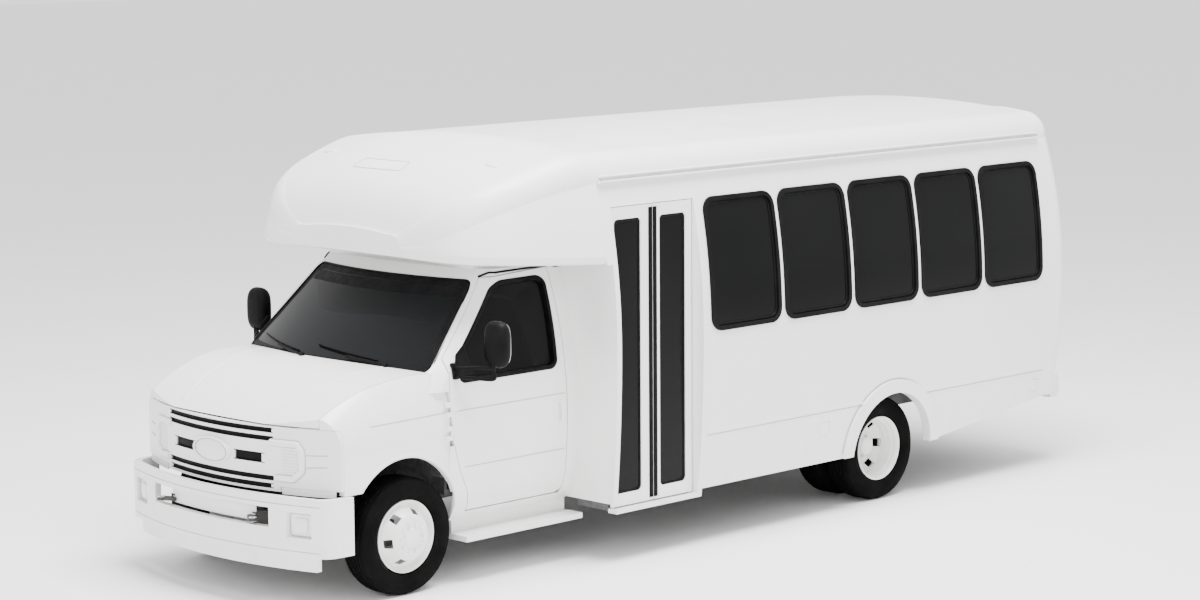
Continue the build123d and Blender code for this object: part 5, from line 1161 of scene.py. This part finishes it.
def badge():
    """Blank oval with a raised rim, and a painted shade line just inside the rim."""
    out = Vector((1, 0, 0))

    def loop(share):
        """The oval at a share of its full size."""
        half_width, half_height = (share * half for half in BADGE_HALF)
        return [(at(BADGE_X, y, z), out) for y, z in oval(half_width, half_height, BADGE_MIDDLE, 64)]

    rim = swept(loop(0.955), bead(BADGE_RIM), closed=True)
    line = swept(loop(0.86), bead(BADGE_LINE), closed=True)
    body = BODY_OF["grille"]
    piece("badge_rim", rim, GELCOAT, body)
    # painted shade: grey ring inside the rim
    piece("badge_line", line, SEAM_SHADE, body)
    piece("badge_plate", plate(loop(0.90), 0.0015, 0.006), GELCOAT, body)


def louvre(y0, y1, z0, z1):
    """Black louvre band set into the grille, its face proud of the bars by a hair."""
    proud, lip, steps = 0.001, 0.005, 24
    rows = []
    for i in range(steps + 1):
        y = y0 + (y1 - y0) * i / steps
        x = bow_x(GRILLE_NOSE_X, GRILLE_BOW_R, y)
        face, floor, back = x + proud, x - 0.010, x - 0.014
        section = [(face, z0), (face, z0 + lip), (floor, z0 + lip), (floor, z1 - lip)]
        section += [(face, z1 - lip), (face, z1), (back, z1), (back, z0)]
        rows.append([at(x, y, z) for x, z in section])
    return bar(rows, 30)


def grille_mesh():
    """Louvre bands of the grille's slots, with the fine upright slats behind them."""
    parts = []
    for z in SLOT_ROWS_Z:
        slats = dict(start=at(SLAT_X, -0.495, z), step=(0, 0.03, 0), slat=(0.016, 0.004, 0.022))
        parts.append(grown(ROW, count=34, finish=BLACK, **slats))
    for side in SIDE_NAME:
        slats = dict(start=at(SLAT_X, side * 0.222, 0.905), step=(0, side * 0.0155, 0))
        parts.append(grown(ROW, count=14, slat=(0.016, 0.004, 0.048), finish=BLACK, **slats))
    for z in SLOT_ROWS_Z:
        parts.append(louvre(-SLOT_HALF_WIDTH, SLOT_HALF_WIDTH, z - SLOT_HALF_HEIGHT, z + SLOT_HALF_HEIGHT))
    inner, outer, low, high = SIDE_SLOT
    for side in SIDE_NAME:
        parts.append(louvre(side * inner, side * outer, low, high))
    piece("grille_mesh", joined(parts), BLACK, BODY_OF["grille"])


def lamp_clamps():
    """C-shaped surround of each lamp, the ribs inside it and a painted shadow line round it."""
    front = skin_of("grille", "headlamps", "fenders")
    clamps, shadows = [], []
    for side in SIDE_NAME:
        for index in range(RIB_COUNT):
            rib = on_side(side, level(0.590, 0.688, RIB_FIRST_Z + index * RIB_PITCH))
            clamps.append(strip(front, from_front, rib, RIB, NOSE_STEP))
        clamps.append(strip(front, from_front, on_side(side, CLAMP_RUN), CLAMP, NOSE_STEP))
        # painted shadow: wider grey strip showing round the clamp's edges
        shadows.append(strip(front, from_front, on_side(side, CLAMP_RUN), CLAMP_LINE, NOSE_STEP))
    piece("lamp_clamps", joined(clamps), GELCOAT, BODY_OF["headlamps"])
    piece("lamp_clamp_seams", joined(shadows), SEAM_SHADE, BODY_OF["headlamps"])


def headlamp_relief_shade():
    """Painted shade of two moulded lines across each lamp's outer end, as grey strips."""
    lamp = skin_of("headlamps")
    for side, name in SIDE_NAME.items():
        # painted shade: grey strips for the moulded lines' shadow
        lines = [strip(lamp, from_front, on_side(side, run), LAMP_LINE, LAMP_STEP) for run in LAMP_LINES]
        piece(f"headlamp_relief_shade_{name}", joined(lines), SEAM_SHADE, BODY_OF["headlamps"])


def lamp_valances():
    """Filler panels that close the gap between each headlamp and the bumper."""
    lamp = skin_of("headlamps")
    top_z, foot_z, thick = 0.733, 0.692, 0.014
    panels = []
    for side in SIDE_NAME:
        rows = []
        run = on_side(side, level(0.580, 0.925, 0.745))
        for place, _ in laid(lamp, *from_front(stepped(run, LAMP_STEP))):
            x, y = place.x, place.y
            section = [(x, foot_z), (x, top_z), (x - thick, top_z), (x - thick, foot_z)]
            rows.append([Vector((a, y, z)) for a, z in section])
        panels.append(bar(rows))
    piece("lamp_valances", joined(panels), GELCOAT)


# ---------------------------------------------------------------- bumper
FOG_LAMP_Y = 0.7925
FOG_POCKET = (0.080, 0.463, 0.602)
FOG_LENS = (0.045, 0.487, 0.577)
FOG_EDGE = (0.008, 0.003)
BUMPER_NOSE_X, BUMPER_BOW_R = 0.850, 2.77
SLOT_PANEL_BACK = 0.052
HOOK_AT = (0.826, 0.465, 0.541)
HOOK_EYE_R = 0.0185
HOOK_HALF_HEIGHT = 0.0125
BUMPER_CREASES_Z = (0.655, 0.372)
BUMPER_CREASE_HALF = 0.94
BUMPER_CREASE = (0.006, 0.0008)


def fog_lamps():
    """Square lens at the foot of each pocket, and painted shade as a grey line along the pocket's edge."""
    skin = skin_of("front_bumper")
    lamps, pockets = [], []
    for side in SIDE_NAME:
        y = side * FOG_LAMP_Y
        half, low, high = FOG_POCKET
        loop = rounded(box_corners(y - half, y + half, low, high), 0.022, 0.015)
        # painted shade: grey line round the pocket's edge
        pockets.append(ring_trim(skin, from_front, loop, FOG_EDGE))
        half, low, high = FOG_LENS
        loop = rounded(box_corners(y - half, y + half, low, high), 0.018, 0.012)
        lamps.append(plate_trim(skin, from_front, loop, 0.014, 0.006))
    piece("fog_lamp_surrounds", joined(pockets), SEAM_SHADE)
    piece("fog_lamps", joined(lamps), WHITE_LENS)


def bumper_slot_panel():
    """Bowed panel behind the slot between the tow hooks."""
    half_width, foot_z, top_z, thick, steps = 0.420, 0.520, 0.608, 0.006, 24
    rows = []
    for i in range(steps + 1):
        y = -half_width + 2 * half_width * i / steps
        x = bow_x(BUMPER_NOSE_X, BUMPER_BOW_R, y) - SLOT_PANEL_BACK
        section = [(x, foot_z), (x, top_z), (x - thick, top_z), (x - thick, foot_z)]
        rows.append([at(x, y, z) for x, z in section])
    piece("bumper_slot_panel", bar(rows, 30), GELCOAT)


def tow_hook_sleeves():
    """Pale sleeves in the eyes of the two hooks."""
    section = [(-HOOK_HALF_HEIGHT, -0.005), (-HOOK_HALF_HEIGHT, 0.005), (HOOK_HALF_HEIGHT, 0.005)]
    section.append((HOOK_HALF_HEIGHT, -0.005))
    x, y, z = HOOK_AT
    ways = [Vector((c, s, 0)) for c, s in arc((0, 0), 1, range(0, 360, 15))]
    sleeves = [
        swept([(at(x, side * y, z) + way * HOOK_EYE_R, way) for way in ways], section, closed=True)
        for side in SIDE_NAME
    ]
    piece("tow_hook_sleeves", joined(sleeves), GELCOAT)


def bumper_creases():
    """Painted shade lines, as grey strips, across the bumper's face."""
    skin = skin_of("front_bumper")
    half = BUMPER_CREASE_HALF
    creases = [
        strip(skin, from_front, level(-half, half, z), BUMPER_CREASE, NOSE_STEP) for z in BUMPER_CREASES_Z
    ]
    # painted shade: grey strips for the creases' shadow
    piece("bumper_creases", joined(creases), SEAM_SHADE)


# ---------------------------------------------------------------- hood and fenders
HOOD_CREASE = [(-0.12, 0.600), (0.20, 0.560), (0.45, 0.505), (0.66, 0.430)]
HOOD_LINE = (0.030, 0.004)
FENDER_LIP = (0.022, 0.007)
FRONT_ARCH = (0.030, 0.440)
FRONT_ARCH_R = 0.449


def hood_creases():
    """Pressed lines along the hood's shoulders."""
    skin = skin_of("hood")
    lines = []
    for side in SIDE_NAME:
        run = [(x, side * y) for x, y in HOOD_CREASE]
        lines.append(strip(skin, onto_hood, run, HOOD_LINE, step=0.04))
    piece("hood_creases", joined(lines), PAINT, BODY_OF["hood"])


def fender_lips():
    """Rolled edge round each front wheel arch."""
    skin = skin_of("fenders")
    lip = arc(FRONT_ARCH, FRONT_ARCH_R, range(-4, 186, 5))
    lips = [swept(laid(skin, *view(lip)), bead(FENDER_LIP)) for view in FLANK_VIEW.values()]
    piece("fender_lips", joined(lips), PAINT, BODY_OF["fenders"])


# ---------------------------------------------------------------- mirrors
MIRROR_AT = (-0.564, 1.187, 1.541)
MIRROR_HALF = (0.055, 0.094, 0.148)
MIRROR_FACE_X = -0.6045
MIRROR_FLAT = 0.036
MIRROR_GLASS_HALF = (0.080, 0.132)
SQUARENESS = 0.62
ARM_FOOT_X = -0.398
ARM_FEET_Z = (1.338, 1.392)
ARM_R = 0.0125
MIRROR_PAD = (-0.425, -0.372, 1.315, 1.415)


def mirror_shell(side):
    """Rounded shell, fuller at the front and flat where the mirror glass sits."""
    x, y, z = MIRROR_AT
    centre = at(x, side * y, z)
    half_depth, half_width, half_height = MIRROR_HALF
    count = 22
    rows = []
    for i in range(count + 1):
        turn = math.pi * i / count
        depth = half_depth * -math.cos(turn)
        if depth < -MIRROR_FLAT:
            depth = -MIRROR_FLAT - 0.25 * (-MIRROR_FLAT - depth)
        swell = math.sin(turn) ** 0.42
        lap = squircle(half_width * swell, half_height * swell, 48)
        rows.append([centre + Vector((depth, across, up)) for across, up in lap])
    return cleaned(grid_mesh(rows, wrap_columns=True), 60)


def mirror_arms(side, door):
    """Two bars from the door's foot pad out to the shell's stem."""
    low_foot, high_foot = (laid(door, *FLANK_VIEW[side]([(ARM_FOOT_X, z)]))[0][0] for z in ARM_FEET_Z)
    stem = at(-0.529, side * MIRROR_AT[1], 1.40)

    def off(foot, along, out, up):
        """Point set off from a foot, outwards on this side."""
        return foot + Vector((along, side * out, up))

    low = [off(low_foot, 0, -0.004, 0), off(low_foot, 0, 0.05, 0), off(low_foot, -0.06, 0.11, -0.008)]
    low += [off(stem, 0, 0, -0.075), off(stem, 0, 0, -0.02), off(stem, 0, 0, 0.09)]
    high = [off(high_foot, 0, -0.004, 0), off(high_foot, 0, 0.05, 0), off(high_foot, -0.07, 0.12, 0.003)]
    high += [off(stem, 0, -0.02, -0.005), off(stem, 0, 0, 0.03), off(stem, 0, 0, 0.10)]
    return [rod(curve_through(path, 6), ARM_R, 14) for path in (low, high)]


def mirrors():
    """Shell, arms and foot pad of each door mirror, and its glass."""
    for side, name in SIDE_NAME.items():
        node = f"mirror_{name}"
        door = skin_of(f"cab_door_{name}")
        foot = rounded(box_corners(*MIRROR_PAD), 0.018, 0.012)
        foot_pad = plate_trim(door, FLANK_VIEW[side], foot, 0.016, 0.004)
        shell = joined([mirror_shell(side), foot_pad] + mirror_arms(side, door))
        piece(f"mirror_shell_{name}", shell, BLACK, BODY_OF[node], [node])
        _, y, z = MIRROR_AT
        back = Vector((-1, 0, 0))
        face = [(at(MIRROR_FACE_X, side * y + a, z + b), back) for a, b in squircle(*MIRROR_GLASS_HALF, 56)]
        piece(f"mirror_glass_{name}", plate(face, 0.002), MIRROR_GLASS, BODY_OF[node])


# ---------------------------------------------------------------- cap
CAP_BUMP_X, CAP_BUMP_Y = -0.90, 0.80
CAP_PANEL_LINE = (0.008, 0.002)
CAP_PANEL = [(-0.24, 2.565), (0.24, 2.565), (0.22, 2.615), (-0.22, 2.615)]


def cap_trim():
    """Two blank bumps on the cap's brow, and a painted shade line round the shallow panel between them."""
    skin = skin_of("front_cap")
    bumps = []
    for y in (-CAP_BUMP_Y, CAP_BUMP_Y):
        bumps.append(plate_trim(skin, onto_cap, oval(0.032, 0.060, (CAP_BUMP_X, y)), 0.004, 0.012))
    piece("cap_marker_bumps", joined(bumps), GELCOAT)
    # painted shade: grey line round the shallow panel
    panel = ring_trim(skin, from_front, rounded(CAP_PANEL, 0.02, 0.03), CAP_PANEL_LINE)
    piece("cap_panel_line", panel, SEAM_SHADE)


# ---------------------------------------------------------------- seats
PAD_VOXEL = 0.031
PAD_FRAMES = 20
PAD_PRESSURE = 4
PAD_SHRINK = 0.012
PAD_SWELL = 0.022
CHANNEL_DEPTH = 0.012
CHANNEL_WIDTH = 0.017
BENCH_WIDTH = 0.6
FACING = {"seat_cushions": Vector((0, 0, 1)), "seat_backs": Vector((0.985, 0, 0.17))}


def islands(node):
    """The separate solids of a node, as merged meshes."""
    work = bmesh.new()
    work.from_mesh(frame["nodes"][node].data)
    bmesh.ops.remove_doubles(work, verts=work.verts, dist=0.0001)
    work.verts.ensure_lookup_table()
    work.verts.index_update()
    group_of = {}
    for start in work.verts:
        if start.index in group_of:
            continue
        edge = [start]
        group_of[start.index] = start.index
        while edge:
            here = edge.pop()
            for link in here.link_edges:
                other = link.other_vert(here)
                if other.index not in group_of:
                    group_of[other.index] = start.index
                    edge.append(other)
    found = []
    for group in sorted(set(group_of.values())):
        members = [vertex for vertex in work.verts if group_of[vertex.index] == group]
        number = {vertex.index: i for i, vertex in enumerate(members)}
        own = [face for face in work.faces if face.verts[0].index in number]
        faces = [[number[vertex.index] for vertex in face.verts] for face in own]
        mesh = bpy.data.meshes.new("solid")
        mesh.from_pydata([vertex.co.copy() for vertex in members], [], faces)
        found.append(mesh)
    work.free()
    return found


def spans(mesh):
    """Lowest and highest corner of a mesh."""
    places = [vertex.co for vertex in mesh.vertices]
    low = Vector(min(place[axis] for place in places) for axis in range(3))
    high = Vector(max(place[axis] for place in places) for axis in range(3))
    return low, high


def evened(mesh, shrink):
    """Evenly divided copy of a solid, a little smaller on every side."""
    low, high = spans(mesh)
    middle, size = (low + high) / 2, high - low
    for vertex in mesh.vertices:
        for axis in range(3):
            vertex.co[axis] = middle[axis] + (vertex.co[axis] - middle[axis]) * (1 - 2 * shrink / size[axis])
    holder = placed("holder", mesh)
    remesh = holder.modifiers.new("even", "REMESH")
    remesh.mode = "VOXEL"
    remesh.voxel_size = PAD_VOXEL
    return evaluated(holder)


def swollen(mesh, reach):
    """Pad blown up as cloth under slight pressure, no point moving further than reach."""
    rest = [vertex.co.copy() for vertex in mesh.vertices]
    holder = placed("holder", mesh)
    cloth = holder.modifiers.new("swell", "CLOTH")
    cloth.settings.use_pressure = True
    cloth.settings.uniform_pressure_force = PAD_PRESSURE
    cloth.settings.effector_weights.gravity = 0
    cloth.point_cache.frame_start = 1
    cloth.point_cache.frame_end = PAD_FRAMES
    for number in range(1, PAD_FRAMES + 1):
        bpy.context.scene.frame_set(number)
    result = evaluated(holder)
    bpy.context.scene.frame_set(1)
    for vertex, start in zip(result.vertices, rest):
        move = vertex.co - start
        if move.length > reach:
            vertex.co = start + move * (reach / move.length)
    return result


def kept_inside(mesh, low, high):
    """Points held within a box."""
    for vertex in mesh.vertices:
        for axis in range(3):
            vertex.co[axis] = min(max(vertex.co[axis], low[axis]), high[axis])
    return mesh


def channelled(mesh, offsets, outwards):
    """Sewn channels pressed into the outer face, each at an offset along Y from the middle."""
    low, high = spans(mesh)
    middle = (low + high) / 2
    for vertex in mesh.vertices:
        if vertex.normal.dot(outwards) < 0.35:
            continue
        for offset in offsets:
            away = (vertex.co.y - middle.y - offset) / CHANNEL_WIDTH
            vertex.co -= outwards * CHANNEL_DEPTH * math.exp(-away * away)
    return mesh


def pad(source, outwards, made_before):
    """One upholstered pad in its solid's place; pads of one size share one simulation."""
    low, high = spans(source)
    size = tuple(round(value, 3) for value in high - low)
    if size not in made_before:
        wide = high.y - low.y
        offsets = ([0.0] if wide > BENCH_WIDTH else []) + [-0.27 * wide, 0.27 * wide]
        shape = evened(source.copy(), PAD_SHRINK)
        shape = swollen(shape, PAD_SWELL)
        made_before[size] = channelled(kept_inside(shape, low, high), offsets, outwards), low
    shape, origin = made_before[size]
    copy = shape.copy()
    copy.transform(Matrix.Translation(low - origin))
    return copy


def upholstery():
    """Bench and cab seats as sewn pads on their trays."""
    for node, outwards in FACING.items():
        made_before = {}
        mesh = joined([pad(source, outwards, made_before) for source in islands(node)])
        shade(mesh, 180)
        made = piece(f"{node}_upholstery", mesh, CLOTH, BODY_OF[node], [node])
        smooth = made.modifiers.new("smooth", "SUBSURF")
        smooth.levels = smooth.render_levels = 1


for dress in (
    front_wheels, rear_wheels, coach_trim, window_seals, rear_door_trim, entry_trim, cab_trim, screen_trim,
    wipers, badge, grille_mesh, lamp_clamps, headlamp_relief_shade, lamp_valances, fog_lamps, bumper_slot_panel,
    tow_hook_sleeves, bumper_creases, hood_creases, fender_lips, mirrors, cap_trim, upholstery,
):
    dress()


# ---------------------------------------------------------------- camera, floor and light
CAMERA_AT = (11.7669, 14.4455, 4.3011)
HEADING, DIP, ROLL = 0.7862, 0.1365, -0.0069
LENS_MM, SENSOR_MM = 88.09, 36
FLOOR_REACH = 90


def set_camera():
    """Standing off the bus's front left corner, a little above the roof line."""
    data = bpy.data.cameras.new("camera")
    data.sensor_width = SENSOR_MM
    data.lens = LENS_MM
    data.clip_end = 200
    camera = placed("camera", data)
    look = Vector((-math.cos(HEADING) * math.cos(DIP), -math.sin(HEADING) * math.cos(DIP), -math.sin(DIP)))
    turn = look.to_track_quat("-Z", "Y").to_matrix().to_4x4() @ Matrix.Rotation(ROLL, 4, "Z")
    camera.matrix_world = Matrix.Translation(at(*CAMERA_AT)) @ turn
    bpy.context.scene.camera = camera


def area_light(name, place, target, size, power):
    """Softbox at a place, turned to its target."""
    data = bpy.data.lights.new(name, "AREA")
    data.shape = "RECTANGLE"
    data.size, data.size_y = size
    data.energy = power
    lamp = placed(name, data)
    lamp.location = place
    lamp.rotation_euler = (Vector(target) - Vector(place)).to_track_quat("-Z", "Y").to_euler()


def set_floor():
    """Plain pale floor."""
    mesh = bpy.data.meshes.new("studio_floor")
    corners = [(x, y, 0) for x, y in square((0, 0), FLOOR_REACH)]
    mesh.from_pydata(corners, [], [(0, 1, 2, 3)])
    placed("studio_floor", mesh)
    pale = bpy.data.materials.new("pale_floor")
    pale.use_nodes = True
    shader = pale.node_tree.nodes["Principled BSDF"]
    shader.inputs["Base Color"].default_value = (0.9, 0.9, 0.9, 1)
    shader.inputs["Roughness"].default_value = 0.8
    mesh.materials.append(pale)


def set_light():
    """Soft white surroundings, a large softbox overhead and a weak one ahead."""
    world = bpy.data.worlds.new("studio")
    world.use_nodes = True
    surroundings = world.node_tree.nodes["Background"]
    surroundings.inputs["Color"].default_value = (1, 1, 1, 1)
    surroundings.inputs["Strength"].default_value = 1.6
    bpy.context.scene.world = world
    area_light("ceiling_softbox", (1, 3, 12), (0, 0, 0), (8, 6), 4300)
    area_light("front_softbox", (13, 7, 6), (2, 0, 1), (5, 4), 450)


set_floor()
set_light()
set_camera()
